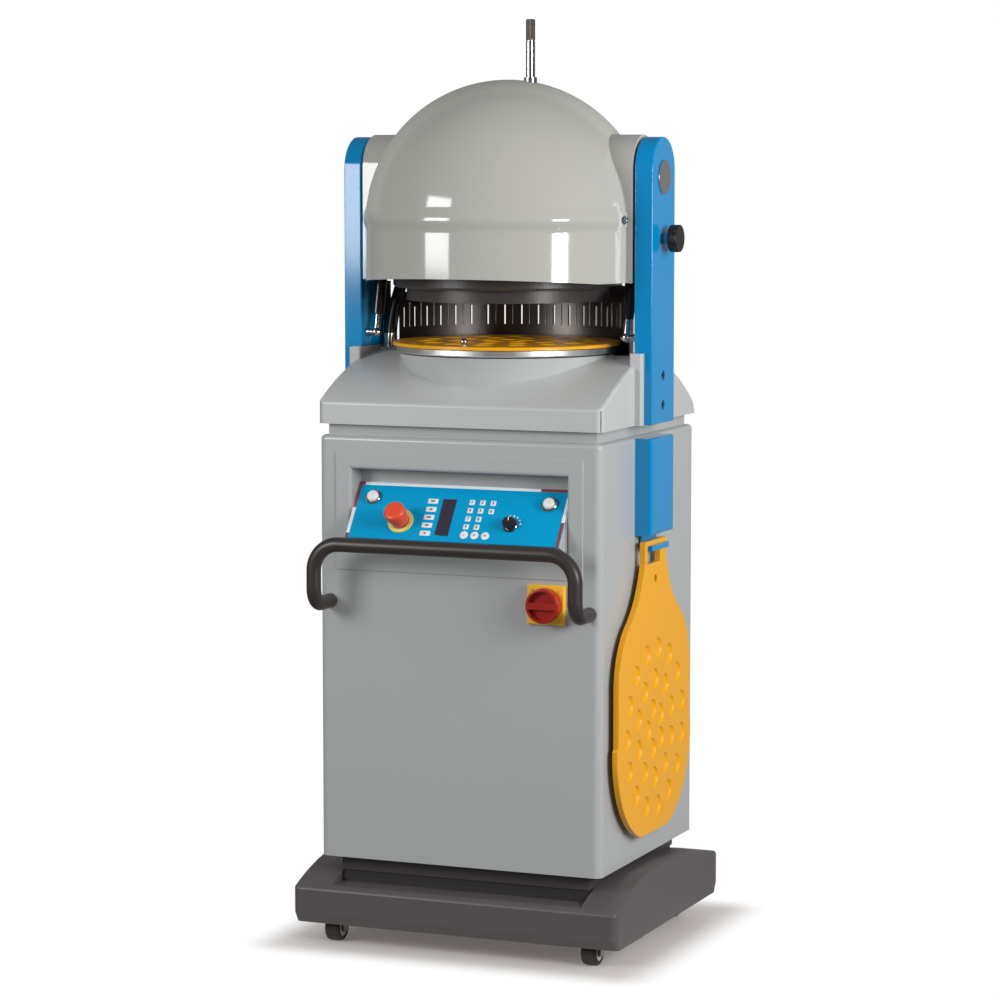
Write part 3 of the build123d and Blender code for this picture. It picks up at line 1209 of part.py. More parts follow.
def hood_screw_bars(radius, start, end):
    """Round bars square to the bell, where the hood is screwed to the yoke."""
    turn = math.degrees(math.asin((HOOD_SCREW_Y - AXIS_Y) / HOOD_R))
    bars = []
    for angle in (turn, 180 - turn):
        place = Pos(0, AXIS_Y, (BEAD_LOW + BEAD_HIGH) / 2) * Rot(0, 0, angle)
        bars.append(place * Pos((start + end) / 2, 0, 0) * Rot(0, 90, 0) * Cylinder(radius, end - start))
    return bars


def hood():
    outer = hood_form(0)
    bead = Circle(HOOD_R + BEAD_PROUD) - Circle(HOOD_R - HOOD_SHEET / 2)
    outer += extrude(Pos(0, AXIS_Y, BEAD_LOW) * bead, BEAD_HIGH - BEAD_LOW)
    shell = outer - hood_form(HOOD_SHEET)
    far = 2 * HOOD_R
    below = polygon((-far, 0), (-far, HOOD_FRONT_LOW), (AXIS_Y - HOOD_R, HOOD_FRONT_LOW),
                    (AXIS_Y - HOOD_R / 2, HOOD_SIDE_LOW), (AXIS_Y + CHEEK_R, HOOD_SIDE_LOW),
                    (AXIS_Y + HOOD_R, HOOD_REAR_LOW), (far, HOOD_REAR_LOW), (far, 0))
    shell -= side_prism(below, -far, far)
    notch = polygon((NOTCH_FRONT, 0), (NOTCH_FRONT, NOTCH_TOP), (HOOD_R, NOTCH_REAR_Z), (HOOD_R, 0))
    shell -= mirrored(side_prism(notch, NOTCH_X, far))
    shell -= bar_z(GUIDE_X, AXIS_Y, BUSH_R, HOOD_Z, BUSH_TOP)
    shell -= bar_x(AXIS_Y, PIVOT_Z, HOOD_PIN_HOLE_R, -CHEEK_X, CHEEK_X)
    for screw in hood_screw_bars(HOOD_SCREW_R / 2, HOOD_R - HOOD_SCREW_LONG, HOOD_R + BEAD_PROUD):
        shell -= screw
    return shell


def hood_screws():
    face = HOOD_R + BEAD_PROUD
    screws = Part()
    shanks = hood_screw_bars(HOOD_SCREW_R / 2, HOOD_R - HOOD_SCREW_LONG, face)
    heads = hood_screw_bars(HOOD_SCREW_R, face, face + HOOD_SCREW_H)
    for shank, head in zip(shanks, heads):
        screws += shank + head
    return screws


def rod_bush():
    bush = bar_z(GUIDE_X, AXIS_Y, BUSH_R, BUSH_LOW, BUSH_TOP)
    return bush - bar_z(GUIDE_X, AXIS_Y, GUIDE_R + RUN_GAP, BUSH_LOW, BUSH_TOP)


# Gas springs


def spring_bar(radius, low, high):
    """A round bar along the right-hand gas spring, measured up from its lower stud."""
    rise = (0, SPRING_PIN[0] - SPRING_LOW[0], SPRING_PIN[1] - SPRING_LOW[1])
    foot = Plane(origin=(SPRING_X, *SPRING_LOW), x_dir=(1, 0, 0), z_dir=rise)
    return extrude(foot.offset(low) * Circle(radius), high - low)


def on_side(part, side):
    return part if side > 0 else mirror(part, about=Plane.YZ)


def spring_studs():
    stud = bar_x(*SPRING_LOW, SPRING_NECK_R, SPRING_X - SPRING_SOCKET_R, UPRIGHT_INNER_X + UPRIGHT_T / 2)
    stud += bar_x(*SPRING_LOW, SPRING_COLLAR_R, UPRIGHT_INNER_X - SPRING_COLLAR_W, UPRIGHT_INNER_X)
    return mirrored(stud)


def gas_tube(side):
    tube = Pos(SPRING_X, *SPRING_LOW) * Sphere(SPRING_SOCKET_R)
    tube += spring_bar(SPRING_STEM_R, 0, SPRING_TUBE_START)
    tube += spring_bar(SPRING_TUBE_R, SPRING_TUBE_START, SPRING_TUBE_END)
    tube -= spring_bar(SPRING_ROD_R + RUN_GAP, SPRING_TUBE_END - 2 * SPRING_ROD_IN, SPRING_TUBE_END)
    tube -= bar_x(*SPRING_LOW, SPRING_NECK_R + RUN_GAP, SPRING_X - SPRING_TUBE_R, SPRING_X + SPRING_TUBE_R)
    return on_side(tube, side)


def gas_rod(side):
    length = math.dist(SPRING_LOW, SPRING_PIN)
    rod = spring_bar(SPRING_ROD_R, SPRING_TUBE_END - SPRING_ROD_IN, length - SPRING_EYE_BORE)
    half = SPRING_EYE_W / 2
    rod += bar_x(*SPRING_PIN, SPRING_EYE_R, SPRING_X - half, SPRING_X + half)
    rod -= bar_x(*SPRING_PIN, SPRING_EYE_BORE, SPRING_X - half, SPRING_X + half)
    return on_side(rod, side)


# Hydraulic hoses from the cover up to the yoke


def bend_radii(route):
    """As large as the two runs at each corner allow."""
    points = [Vector(*point) for point in route]
    radii = []
    for before, corner, after in zip(points, points[1:], points[2:]):
        arriving = corner - before
        leaving = after - corner
        half_turn = math.radians(arriving.get_angle(leaving)) / 2
        radii.append(HOSE_BEND * min(arriving.length, leaving.length) / math.tan(half_turn))
    return radii


def hydraulic_hoses():
    hoses = Part()
    for route in HOSE_ROUTES:
        radii = bend_radii(route)
        print("hose bend radii", [round(radius) for radius in radii])
        path = FilletPolyline(*route, radius=radii)
        hoses += sweep(Plane(path ^ 0) * Circle(HOSE_R), path=path)
    return hoses


# Castors


def castor_fork(x, y):
    axle_y = y - CASTOR_TRAIL
    crown = 2 * WHEEL_R + FORK_SHEET
    half = WHEEL_W / 2 + FORK_SHEET / 2
    fork = bar_z(x, y, KINGPIN_R, crown, CASTOR_TOP + KINGPIN_H)
    fork += bar_z(x, y, 3 * KINGPIN_R, crown, CASTOR_TOP)
    boss = 2 * AXLE_R
    top = crown + FORK_SHEET
    fork += block((x - half, x + half), (axle_y - boss, y + 2 * KINGPIN_R), (crown, top))
    leg = polygon((axle_y - boss, WHEEL_R), (axle_y - boss, top), (y + 2 * KINGPIN_R, top),
                  (axle_y + boss, WHEEL_R))
    leg += Pos(axle_y, WHEEL_R) * Circle(boss)
    for side in (-1, 1):
        low, high = sorted((x + side * half, x + side * (half + FORK_SHEET)))
        fork += side_prism(leg, low, high)
    return fork + bar_x(axle_y, WHEEL_R, AXLE_R, x - half - FORK_SHEET, x + half + FORK_SHEET)


def castor_wheel(x, y):
    axle_y = y - CASTOR_TRAIL
    half = WHEEL_W / 2
    wheel = bar_x(axle_y, WHEEL_R, WHEEL_R, x - half, x + half)
    wheel = fillet(wheel.edges().filter_by(GeomType.CIRCLE), WHEEL_W / 5)
    recess = WHEEL_W / 10
    for low in (x - half, x + half - recess):
        groove = bar_x(axle_y, WHEEL_R, WHEEL_R - 2 * AXLE_R, low, low + recess)
        wheel -= groove - bar_x(axle_y, WHEEL_R, 2 * AXLE_R, low, low + recess)
    return wheel - bar_x(axle_y, WHEEL_R, AXLE_R + RUN_GAP, x - half, x + half)


def all_parts():
    """Every piece by its node name."""
    parts = {make.__name__: make() for make in (
        base, plinth, chassis, cabinet_shell, rear_panel, cable_gland, control_fascia, control_panel,
        start_button_rings, e_stop_collar, e_stop_button, timer_knob, main_switch_plate, main_switch_handle,
        push_handle, top_cover, upright_bolts, pivot_pins, plunger_body, plunger_knob, splash_guard,
        plate_holder, spare_plate, table_disc, moulding_plate, plate_knob, eccentric_shaft, bearing_unit,
        driven_pulley, motor_pulley, drive_motor, drive_belt, hydraulic_unit, press_ring, knife_star,
        pressing_segments, press_rods, head_yoke, press_cylinder, hood, hood_screws, rod_bush,
        spring_studs, hydraulic_hoses)}
    for side, name in ((-1, "left"), (1, "right")):
        parts["upright_" + name] = upright(side)
        parts["start_button_" + name] = start_button((side * START_X, START_Y))
        parts["gas_tube_" + name] = gas_tube(side)
        parts["gas_rod_" + name] = gas_rod(side)
    corners = ("front_left", "front_right", "rear_left", "rear_right")
    for corner, place in zip(corners, castor_places()):
        parts["castor_fork_" + corner] = castor_fork(*place)
        parts["castor_wheel_" + corner] = castor_wheel(*place)
    return parts


if __name__ == "__main__":
    os.makedirs("parts", exist_ok=True)
    for node, part in all_parts().items():
        export_step(part, os.path.join("parts", node + ".step"))
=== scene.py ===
"""Looks of the dough divider rounder: metres, +Z up, -Y towards the person who works it."""
import json
import math

import bmesh
import bpy
from mathutils import Matrix, Vector


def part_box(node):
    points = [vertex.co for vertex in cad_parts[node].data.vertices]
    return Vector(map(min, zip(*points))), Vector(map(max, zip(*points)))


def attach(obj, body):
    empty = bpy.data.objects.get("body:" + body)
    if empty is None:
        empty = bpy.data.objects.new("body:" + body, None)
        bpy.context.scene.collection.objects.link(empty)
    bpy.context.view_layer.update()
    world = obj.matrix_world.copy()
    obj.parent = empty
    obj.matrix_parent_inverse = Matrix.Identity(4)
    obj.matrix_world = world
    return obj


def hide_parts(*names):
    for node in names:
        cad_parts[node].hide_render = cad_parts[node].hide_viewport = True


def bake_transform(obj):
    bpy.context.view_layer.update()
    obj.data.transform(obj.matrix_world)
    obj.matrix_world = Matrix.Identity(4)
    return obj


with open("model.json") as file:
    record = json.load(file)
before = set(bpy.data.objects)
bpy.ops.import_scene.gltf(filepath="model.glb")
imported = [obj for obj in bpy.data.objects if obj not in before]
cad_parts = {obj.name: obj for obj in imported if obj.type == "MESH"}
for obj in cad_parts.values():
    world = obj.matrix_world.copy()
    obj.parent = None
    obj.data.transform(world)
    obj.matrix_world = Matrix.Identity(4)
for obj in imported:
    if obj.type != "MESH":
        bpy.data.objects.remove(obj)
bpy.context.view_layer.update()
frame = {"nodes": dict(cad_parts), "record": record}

MM = 0.001
nodes = frame["nodes"]

# What counts as the same place, and as facing one way
NEAR = 0.05 * MM
MERGE_NEAR = 0.01 * MM
MOSTLY = 0.9
FRONTWARD = -0.5

# Camera, at the angle of the photograph
CAMERA_PLACE = (2.404, -5.854, 1.475)
CAMERA_TURN = (84.025, 0.0, 22.493)
CAMERA_LENS = 122.29
CAMERA_SENSOR = 36.0

# Studio: the floor's grey tone is a painted shadow round the base, and its glow is painted light that lifts
# the shade under the base
FLOOR_SIZE = 9.0
FLOOR_PATCH = (0.320, 0.280)
FLOOR_FADE = (0.0, 0.10)
FLOOR_SHADOW_TONE = (0.60, 0.57, 0.55, 1.0)
FLOOR_ROUGHNESS = 0.9
FLOOR_SHADE_GLOW = (1.0, 0.90, 0.85, 1.0)
FLOOR_SHADE_GLOW_STRENGTH = 0.12
AMBIENT = 0.36
AMBIENT_BELOW = 0.22
AMBIENT_CHANGE = (-0.25, 0.25)
SURROUND = 0.10
BACKDROP = 0.28
BACKDROP_WAY = (-0.174, 0.985, -0.204)
BACKDROP_EDGE = (0.69, 0.75)

# Gloss that all finishes share, and what their effects put out
COAT_ROUGHNESS = 0.08
SPECULAR = 0.5
EFFECT_OUTPUTS = (("Colour", "NodeSocketColor"), ("Roughness", "NodeSocketFloat"),
                  ("Height", "NodeSocketFloat"))

# Hydraulic hoses, from the pad on the cover up to the shelf of the head yoke
HOSE_R = 5.5 * MM
HOSE_CURVE_ORDER = 3
HOSE_STEPS = (16, 4)
HOSE_ROUTES = (
    ((-0.256, 0.012, 1.094), (-0.256, 0.012, 1.146), (-0.240, 0.038, 1.226), (-0.226, 0.049, 1.314),
     (-0.226, 0.049, 1.372)),
    ((-0.256, 0.027, 1.094), (-0.256, 0.027, 1.146), (-0.240, 0.054, 1.226), (-0.226, 0.066, 1.314),
     (-0.226, 0.066, 1.372)),
    ((-0.256, 0.042, 1.094), (-0.256, 0.042, 1.146), (-0.240, 0.070, 1.226), (-0.226, 0.083, 1.314),
     (-0.226, 0.083, 1.372)),
)
FERRULE_R = 7.0 * MM
FERRULE_LENGTH = 26.0 * MM
FERRULE_EDGE = 0.4 * MM
COLLAR_R = 8.4 * MM
COLLAR_H = (5.85 * MM, 7.8 * MM)
CRIMPS = 4
CRIMP_DEPTH = 0.6 * MM
CRIMP_SLOPE = 0.2

# Hood: finish, rolled bead round its front, from screw to screw, and the screws' caps
HOOD_R = 264.0 * MM
HOOD_AXIS = (0.0, -0.010)
HOOD_CENTRE_Z = 1.330
HOOD_COAT = 0.6
HOOD_FLAT = (0.50, 0.64)
HOOD_SKIRT_END = (1.330, 1.355)
BEAD_MIDDLE = 1.341
BEAD_HALF = 24.0 * MM
BEAD_RISE = 5.0 * MM
BEAD_SUNK = 0.1 * MM
BEAD_POINTS = 16
BEAD_HALF_ANGLE = 71.0
BEAD_STEPS = 96
CAP_ANGLE = 15.38
CAP_Z = 1.339
CAP_SEAT = 265.5 * MM
CAP_R = 5.7 * MM
CAP_H = 5.4 * MM
CAP_CHAMFER = 0.8 * MM
CAP_SOCKET_R = (2.565 * MM, 2.865 * MM)
CAP_SOCKET_DEPTH = 0.9 * MM
WASHER_R = 8.2 * MM
WASHER_H = 1.5 * MM
WASHER_CHAMFER = 0.4 * MM
WASHER_SUNK = 0.4 * MM

# Guide rod: knurled grip above the groove near its top
ROD_AXIS = (0.045, -0.010)
ROD_GRIP_LOW = 1.6656
ROD_GRIP_RIDGES = 26.0
ROD_GRIP_GLOSS_LOSS = 0.34
ROD_GRIP_RELIEF = 0.6
ROD_GRIP_DEPTH = 0.3 * MM

# Guard behind the table: folded lip along one side of each slot, and pressed folds between the slots
GUARD_MIDDLE_R = 233.0 * MM
GUARD_INSIDE_R = 232.0 * MM
LIP_COUNT = 21
LIP_SPREAD = 80.0
LIP_EDGE = -2.7 * MM
LIP_SIZE = (2.9 * MM, 0.7 * MM)
LIP_CORNER = 0.21 * MM
LIP_TURN = 16.0
LIP_Z = (1.131, 1.168)
FOLD_COUNT = 20
FOLD_SPREAD = 76.0
FOLD_SIZE = (1.6 * MM, 1.2 * MM)
FOLD_CORNER = 0.72 * MM
FOLD_Z = (1.131, 1.1765)

# Rim riveted round the outside of the guard's top
GUARD_RIM_R = (234.1 * MM, 235.7 * MM)
GUARD_RIM_LOW = 1.1695
GUARD_RIM_SIDE = 1.1915
GUARD_RIM_SLOPE = 0.1154
GUARD_RIM_CORNER = 0.5 * MM
GUARD_RIM_HALF_ANGLE = 84.0
GUARD_RIM_STEPS = 84
RIVET_ANGLES = (4.0, 20.0, 36.0, 52.0, 68.0)
RIVET_Z = 1.1735
RIVET_R = 2.6 * MM
RIVET_H = 1.3 * MM
RIVET_DOME = ((0.0, 1.0), (0.55, 0.85), (0.9, 0.45), (1.0, 0.0))
RIVET_SUNK = 0.2 * MM

# Dark strips on the inner faces of the uprights, behind the gas springs: painted shade that closes that gap
SHADE_STRIP_FACE = 0.272
SHADE_STRIP_SIZE = (9.6 * MM, 12.0 * MM)
SHADE_STRIP_CORNER = 3.6 * MM
SHADE_STRIP_Y = 0.040
SHADE_STRIP_Z = (1.095, 1.2175)

# Rail round the plinth under the cabinet
RAIL_Z = (0.1335, 0.1625)
RAIL_SHEET = 2.8 * MM
RAIL_CORNER = 1.2 * MM

# Gas springs: height where the bright stem ends in the black tube
GAS_TUBE_FOOT = 1.158

# Control panel, in its own plane: x to the right, y up the slope from its middle
FILM_RISE = 0.35 * MM
FILM_EDGE = (0.2 * MM, 0.1 * MM)
BORDER_WIDTH = 6.0 * MM
BORDER_TOP_LIGHT = (-197.0 * MM, 150.0 * MM)
BORDER_LEFT_LIGHT = (-49.0 * MM, 4.0 * MM)
BORDER_RIGHT_LIGHT = (-9.0 * MM, 42.0 * MM)
MENU_KEY = (20.0 * MM, 10.0 * MM)
MENU_KEY_X = -53.8 * MM
MENU_KEY_ROWS = (23.6 * MM, 6.6 * MM, -10.0 * MM, -26.6 * MM, -43.2 * MM)
MENU_MARK_WIDTHS = (8.0 * MM, 6.0 * MM, 9.0 * MM, 7.0 * MM, 4.0 * MM)
MENU_MARK_HEIGHT = 2.6 * MM
MENU_MARK_CORNER = 0.8 * MM
DISPLAY_X = (-34.0 * MM, -8.2 * MM)
DISPLAY_Y = (-46.7 * MM, 29.0 * MM)
DISPLAY_STEPS = ((0.5 * MM, 0.3 * MM), (1.6 * MM, 0.0), (0.2 * MM, -0.3 * MM))
NUMBER_KEY = 10.4 * MM
NUMBER_COLUMNS = (22.8 * MM, 43.3 * MM, 64.1 * MM)
NUMBER_ROWS = (24.4 * MM, 7.4 * MM, -9.8 * MM, -26.3 * MM)
NUMBER_MARKS = ("123", "456", "78", "90")
ROUND_KEY_R = 7.8 * MM
ROUND_KEY_Y = -43.1 * MM
ROUND_MARKS = "-+="
KEY_RISE = 0.9 * MM
KEY_CORNER = 1.2 * MM
KEY_EDGE = 0.5 * MM
KEY_CROWN = 0.3 * MM
KEY_TOP = KEY_RISE + KEY_CROWN
MARK_SIZE = 8.0 * MM
MARK_RISE = 0.12 * MM
MARK_BOLDNESS = 0.02
MARK_SMOOTHNESS = 3

# Timer: scale of dashes, bright skirt and pointer
DIAL_RADIUS = 17.0 * MM
DIAL_TICKS = 7
DIAL_SPAN = (150.0, 10.0)
DIAL_TICK = (2.0 * MM, 3.4 * MM)
DIAL_TICK_CORNER = 0.3 * MM
DIAL_TICK_GROWTH = (0.6, 1.2)
SKIRT_R = (11.3 * MM, 14.5 * MM)
SKIRT_Z = (0.3 * MM, 4.4 * MM)
SKIRT_CHAMFER = 1.2 * MM
POINTER = (1.5 * MM, 8.0 * MM, 0.5 * MM)
POINTER_CORNER = 0.5 * MM
POINTER_AT = 5.0 * MM
POINTER_LIFT = 0.2 * MM

# Castors, rear panel and main switch
CASTORS = ("front_left", "front_right", "rear_left", "rear_right")
RIM_R = (8.3 * MM, 16.7 * MM)
RIM_SUNK = 1.2 * MM
RIM_SHEET = 1.8 * MM
RIM_CHAMFER = (0.8 * MM, 0.6 * MM)
RIM_HUB = (2.0 * MM, 2.6 * MM)
RIM_HUB_SUNK = 0.8 * MM
LOUVRE_X = 0.120
LOUVRE_LOWS = (0.300, 0.640)
LOUVRE_PITCH = 0.022
LOUVRE_COUNT = 8
LOUVRE_LIP = (156.0 * MM, 1.4 * MM, 12.0 * MM)
LOUVRE_LIP_OUT = 7.0 * MM
LOUVRE_LIP_UP = 3.0 * MM
LOUVRE_LIP_CORNER = 0.4 * MM
SCREW_R = 5.0 * MM
SCREW_H = 2.4 * MM
SCREW_SHAPE = ((0.0, 0.0), (1.0, 0.0), (1.0, 0.4), (0.8, 0.8), (0.5, 1.0), (0.45, 0.4), (0.0, 0.4))
SCREW_INSET = 8.0 * MM
SCREW_ROWS = 5
SWITCH_MARK = 7.0 * MM
SWITCH_MARK_AT = 24.8 * MM


def linear(red, green, blue):
    """A colour read off the photograph, 0 to 255, as the renderer takes it."""
    def channel(value):
        part = value / 255.0
        return part / 12.92 if part <= 0.04045 else ((part + 0.055) / 1.055) ** 2.4
    return channel(red), channel(green), channel(blue), 1.0


# Places

def shift(x, y, z):
    return Matrix.Translation((x, y, z))


def turn(axis, degrees):
    return Matrix.Rotation(math.radians(degrees), 4, axis)


def middle_of(node):
    return [(low + high) / 2.0 for low, high in zip(*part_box(node))]


def fan(count, half_angle):
    """Angles spread evenly to both sides of nought."""
    return [half_angle * (2.0 * step / (count - 1) - 1.0) for step in range(count)]


def round_hood_axis(angles, height=0.0, fitting=Matrix()):
    """Places round the hood's axis, each with the fitting that holds a piece there."""
    return [shift(*HOOD_AXIS, height) @ turn("Z", angle) @ fitting for angle in angles]


# Small tools of the modelling

def deselect():
    bpy.ops.object.select_all(action="DESELECT")


def take(piece):
    deselect()
    piece.select_set(True)
    bpy.context.view_layer.objects.active = piece


def edit(piece):
    take(piece)
    bpy.ops.object.mode_set(mode="EDIT")
    bpy.ops.mesh.select_all(action="DESELECT")


def leave_edit():
    bpy.ops.object.mode_set(mode="OBJECT")


def pick(piece, kind, wanted):
    """In edit mode, select the faces or the edges that the test wants."""
    bpy.ops.mesh.select_mode(type=kind)
    bpy.ops.mesh.select_all(action="DESELECT")
    mesh = bmesh.from_edit_mesh(piece.data)
    for element in (mesh.faces if kind == "FACE" else mesh.edges):
        element.select_set(bool(wanted(element)))
    mesh.select_flush_mode()
    bmesh.update_edit_mesh(piece.data)


def upright_edge(edge):
    run = edge.verts[1].co - edge.verts[0].co
    return abs(run.z) > MOSTLY * run.length


def top_face(face):
    return face.normal.z > MOSTLY


def bevel_edges(piece, wanted, offset, segments):
    """Round the edges that the test wants."""
    edit(piece)
    pick(piece, "EDGE", wanted)
    bpy.ops.mesh.bevel(offset=offset, segments=segments, affect="EDGES")
    leave_edit()


def inset_top(piece, *insets):
    """Inset the top face, once for each thickness and depth."""
    edit(piece)
    pick(piece, "FACE", top_face)
    for thickness, depth in insets:
        bpy.ops.mesh.inset(thickness=thickness, depth=depth)
    leave_edit()


def seat(piece, matrix):
    """Carry a piece to its place and write the place into its mesh."""
    take(piece)
    piece.matrix_world = matrix @ piece.matrix_world
    bpy.ops.object.transform_apply(location=True, rotation=True, scale=True)
    return piece


def block(size, place):
    """A rectangular blank at its size and place."""
    deselect()
    bpy.ops.mesh.primitive_cube_add(size=1.0, location=place)
    piece = bpy.context.object
    piece.scale = size
    bpy.ops.object.transform_apply(location=True, rotation=True, scale=True)
    return piece


def rounded_block(size, place, corner, segments):
    """A blank with its upright edges rounded."""
    piece = block(size, place)
    bevel_edges(piece, upright_edge, corner, segments)
    return piece


def turned(profile, steps=48, sweep=math.tau):
    """A part turned about Z from the (radius, height) points of half its outline, all round or in part."""
    deselect()
    bpy.ops.mesh.primitive_plane_add(size=MM)
    piece = bpy.context.object
    bpy.ops.object.mode_set(mode="EDIT")
    bpy.ops.mesh.select_mode(type="VERT")
    bpy.ops.mesh.select_all(action="SELECT")
    bpy.ops.mesh.merge(type="CENTER")
    first_radius, first_height = profile[0]
    bpy.ops.transform.translate(value=(first_radius, 0.0, first_height))
    for (radius, height), (next_radius, next_height) in zip(profile, profile[1:]):
        step = (next_radius - radius, 0.0, next_height - height)
        bpy.ops.mesh.extrude_vertices_move(TRANSFORM_OT_translate={"value": step})
    bpy.ops.mesh.select_all(action="SELECT")
    bpy.ops.mesh.spin(steps=steps, angle=sweep, center=(0.0, 0.0, 0.0), axis=(0.0, 0.0, 1.0))
    bpy.ops.mesh.select_all(action="SELECT")
    bpy.ops.mesh.remove_doubles(threshold=MERGE_NEAR)
    if sweep < math.tau:
        bpy.ops.mesh.fill_holes(sides=0)
        bpy.ops.mesh.select_all(action="SELECT")
    bpy.ops.mesh.normals_make_consistent(inside=False)
    leave_edit()
    return piece


def hood_arc(profile, steps, half_angle, facing):
    """A strip turned about the hood's axis, to both sides of the way that it faces."""
    strip = turned([*profile, profile[0]], steps, 2.0 * math.radians(half_angle))
    return seat(strip, shift(*HOOD_AXIS, 0.0) @ turn("Z", facing + half_angle))


def twin(piece, matrix):
    """A copy of a piece with its own mesh, carried by the matrix."""
    copy = piece.copy()
    copy.data = piece.data.copy()
    bpy.context.collection.objects.link(copy)
    return seat(copy, matrix)


def joined(pieces):
    """Several alike pieces as one object."""
    deselect()
    for piece in pieces:
        piece.select_set(True)
    bpy.context.view_layer.objects.active = pieces[0]
    if len(pieces) > 1:
        bpy.ops.object.join()
    return pieces[0]


def copies(blank, places, keep=False):
    """One object of copies of a blank, one at each place; the blank goes unless it is kept."""
    pieces = [twin(blank, place) for place in places]
    if not keep:
        bpy.data.objects.remove(blank)
    return joined(pieces)


def lettering(text, size):
    """A raised mark, flat on the ground plane and centred, as a mesh."""
    deselect()
    bpy.ops.object.text_add()
    mark = bpy.context.object
    mark.data.body = text
    mark.data.size = size
    mark.data.extrude = MARK_RISE / 2.0
    mark.data.offset = MARK_BOLDNESS * size
    mark.data.align_x = "CENTER"
    mark.data.align_y = "CENTER"
    mark.data.resolution_u = MARK_SMOOTHNESS
    bpy.ops.object.convert(target="MESH")
    return bpy.context.object


def dress(piece, name, body, material, angle=35.0):
    """Name a finished piece, give it its finish and let it ride its body."""
    take(piece)
    piece.name = name
    piece.data.name = name
    bpy.ops.object.shade_smooth_by_angle(angle=math.radians(angle))
    piece.data.materials.clear()
    piece.data.materials.append(material)
    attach(piece, body)
    return piece


# Small tools of the finishes

def give(tree, node, settings):
    """Set a node's inputs to plain values, or link them to other nodes' outputs."""
    for label, value in settings.items():
        if isinstance(value, bpy.types.NodeSocket):
            tree.links.new(value, node.inputs[label])
        else:
            node.inputs[label].default_value = value


def new_node(tree, kind, settings=None, **options):
    """A node of a kind, with its options chosen and its inputs given."""
    node = tree.nodes.new(kind)
    for option, value in options.items():
        setattr(node, option, value)
    give(tree, node, settings or {})
    return node


def math_node(tree, operation, first, second=0.0):
    return new_node(tree, "ShaderNodeMath", {0: first, 1: second}, operation=operation).outputs["Value"]


def vector_node(tree, operation, first, second):
    return new_node(tree, "ShaderNodeVectorMath", {0: first, 1: second}, operation=operation).outputs


def map_node(tree, value, source, target=(0.0, 1.0), smooth=False):
    """A value carried from one range to another and held at its ends."""
    settings = {"Value": value, "From Min": source[0], "From Max": source[1], "To Min": target[0],
                "To Max": target[1]}
    course = "SMOOTHSTEP" if smooth else "LINEAR"
    return new_node(tree, "ShaderNodeMapRange", settings, interpolation_type=course).outputs["Result"]


def noise_node(tree, vector, scale, detail, roughness=0.5):
    settings = {"Vector": vector, "Scale": scale, "Detail": detail, "Roughness": roughness}
    return new_node(tree, "ShaderNodeTexNoise", settings).outputs["Fac"]


def bump_node(tree, height, strength, depth):
    return new_node(tree, "ShaderNodeBump", {"Height": height, "Strength": strength, "Distance": depth})


def shade_node(tree, colour, factor):
    """A colour made lighter or darker by a factor about one."""
    node = new_node(tree, "ShaderNodeVectorMath", {0: colour, "Scale": factor}, operation="SCALE")
    return node.outputs["Vector"]


def around_one(tree, value, amount):
    """One, swung by a noise value's distance from a half, times the amount."""
    swing = math_node(tree, "SUBTRACT", value, 0.5)
    spread = math_node(tree, "MULTIPLY", swing, amount)
    return math_node(tree, "ADD", spread, 1.0)


def parts_of(tree, vector):
    """X, Y and Z of a vector."""
    return new_node(tree, "ShaderNodeSeparateXYZ", {"Vector": vector}).outputs


def place_on_piece(tree):
    return new_node(tree, "ShaderNodeTexCoord").outputs["Object"]


def length_node(tree, first, second):
    """The length of two sides at a right angle, from end to end."""
    squares = [math_node(tree, "MULTIPLY", side, side) for side in (first, second)]
    return math_node(tree, "POWER", math_node(tree, "ADD", *squares), 0.5)


# Effects that several finishes share: each takes a colour and puts out tone, gloss and relief

def new_effect(name, grey, gloss, tone, *own):
    """A group with the inputs that every effect has, and those of its own."""
    group = bpy.data.node_groups.new(name, "ShaderNodeTree")
    inputs = (("Colour", "NodeSocketColor", (grey, grey, grey, 1.0)), ("Gloss", "NodeSocketFloat", gloss),
              ("Tone", "NodeSocketFloat", tone), *own)
    for label, kind, value in inputs:
        socket = group.interface.new_socket(name=label, in_out="INPUT", socket_type=kind)
        socket.default_value = value
    for label, kind in EFFECT_OUTPUTS:
        group.interface.new_socket(name=label, in_out="OUTPUT", socket_type=kind)
    return group, group.nodes.new("NodeGroupInput").outputs, place_on_piece(group)


def close_effect(group, given, tone, gloss, relief):
    """Lead the colour swung by the tone, the swung gloss and the relief out of the group."""
    colour = shade_node(group, given["Colour"], around_one(group, tone, given["Tone"]))
    roughness = math_node(group, "MULTIPLY", gloss, given["Gloss"])
    end = group.nodes.new("NodeGroupOutput")
    give(group, end, {"Colour": colour, "Roughness": roughness, "Height": relief})
    return group


def sprayed_coat_group():
    """Sprayed paint: a faint unevenness of tone, a soft change of gloss and a fine orange peel."""
    group, given, place = new_effect("sprayed_coat", 0.5, 0.3, 0.03, ("Peel", "NodeSocketFloat", 420.0))
    clouds = noise_node(group, place, scale=5.0, detail=1.0)
    peel = noise_node(group, place, scale=given["Peel"], detail=2.0)
    gloss = around_one(group, noise_node(group, place, scale=9.0, detail=1.0), amount=0.12)
    return close_effect(group, given, clouds, gloss, peel)


def drawn_metal_group():
    """Rolled or brushed metal: fine streaks along one way."""
    group, given, place = new_effect("drawn_metal", 0.6, 0.25, 0.18,
                                     ("Stretch", "NodeSocketVector", (900.0, 900.0, 12.0)))
    stretched = vector_node(group, "MULTIPLY", place, given["Stretch"])["Vector"]
    streaks = noise_node(group, stretched, scale=1.0, detail=4.0, roughness=0.6)
    clouds = noise_node(group, place, scale=9.0, detail=3.0)
    gloss = math_node(group, "MULTIPLY", around_one(group, streaks, amount=0.8),
                      around_one(group, clouds, amount=0.5))
    return close_effect(group, given, streaks, gloss, streaks)


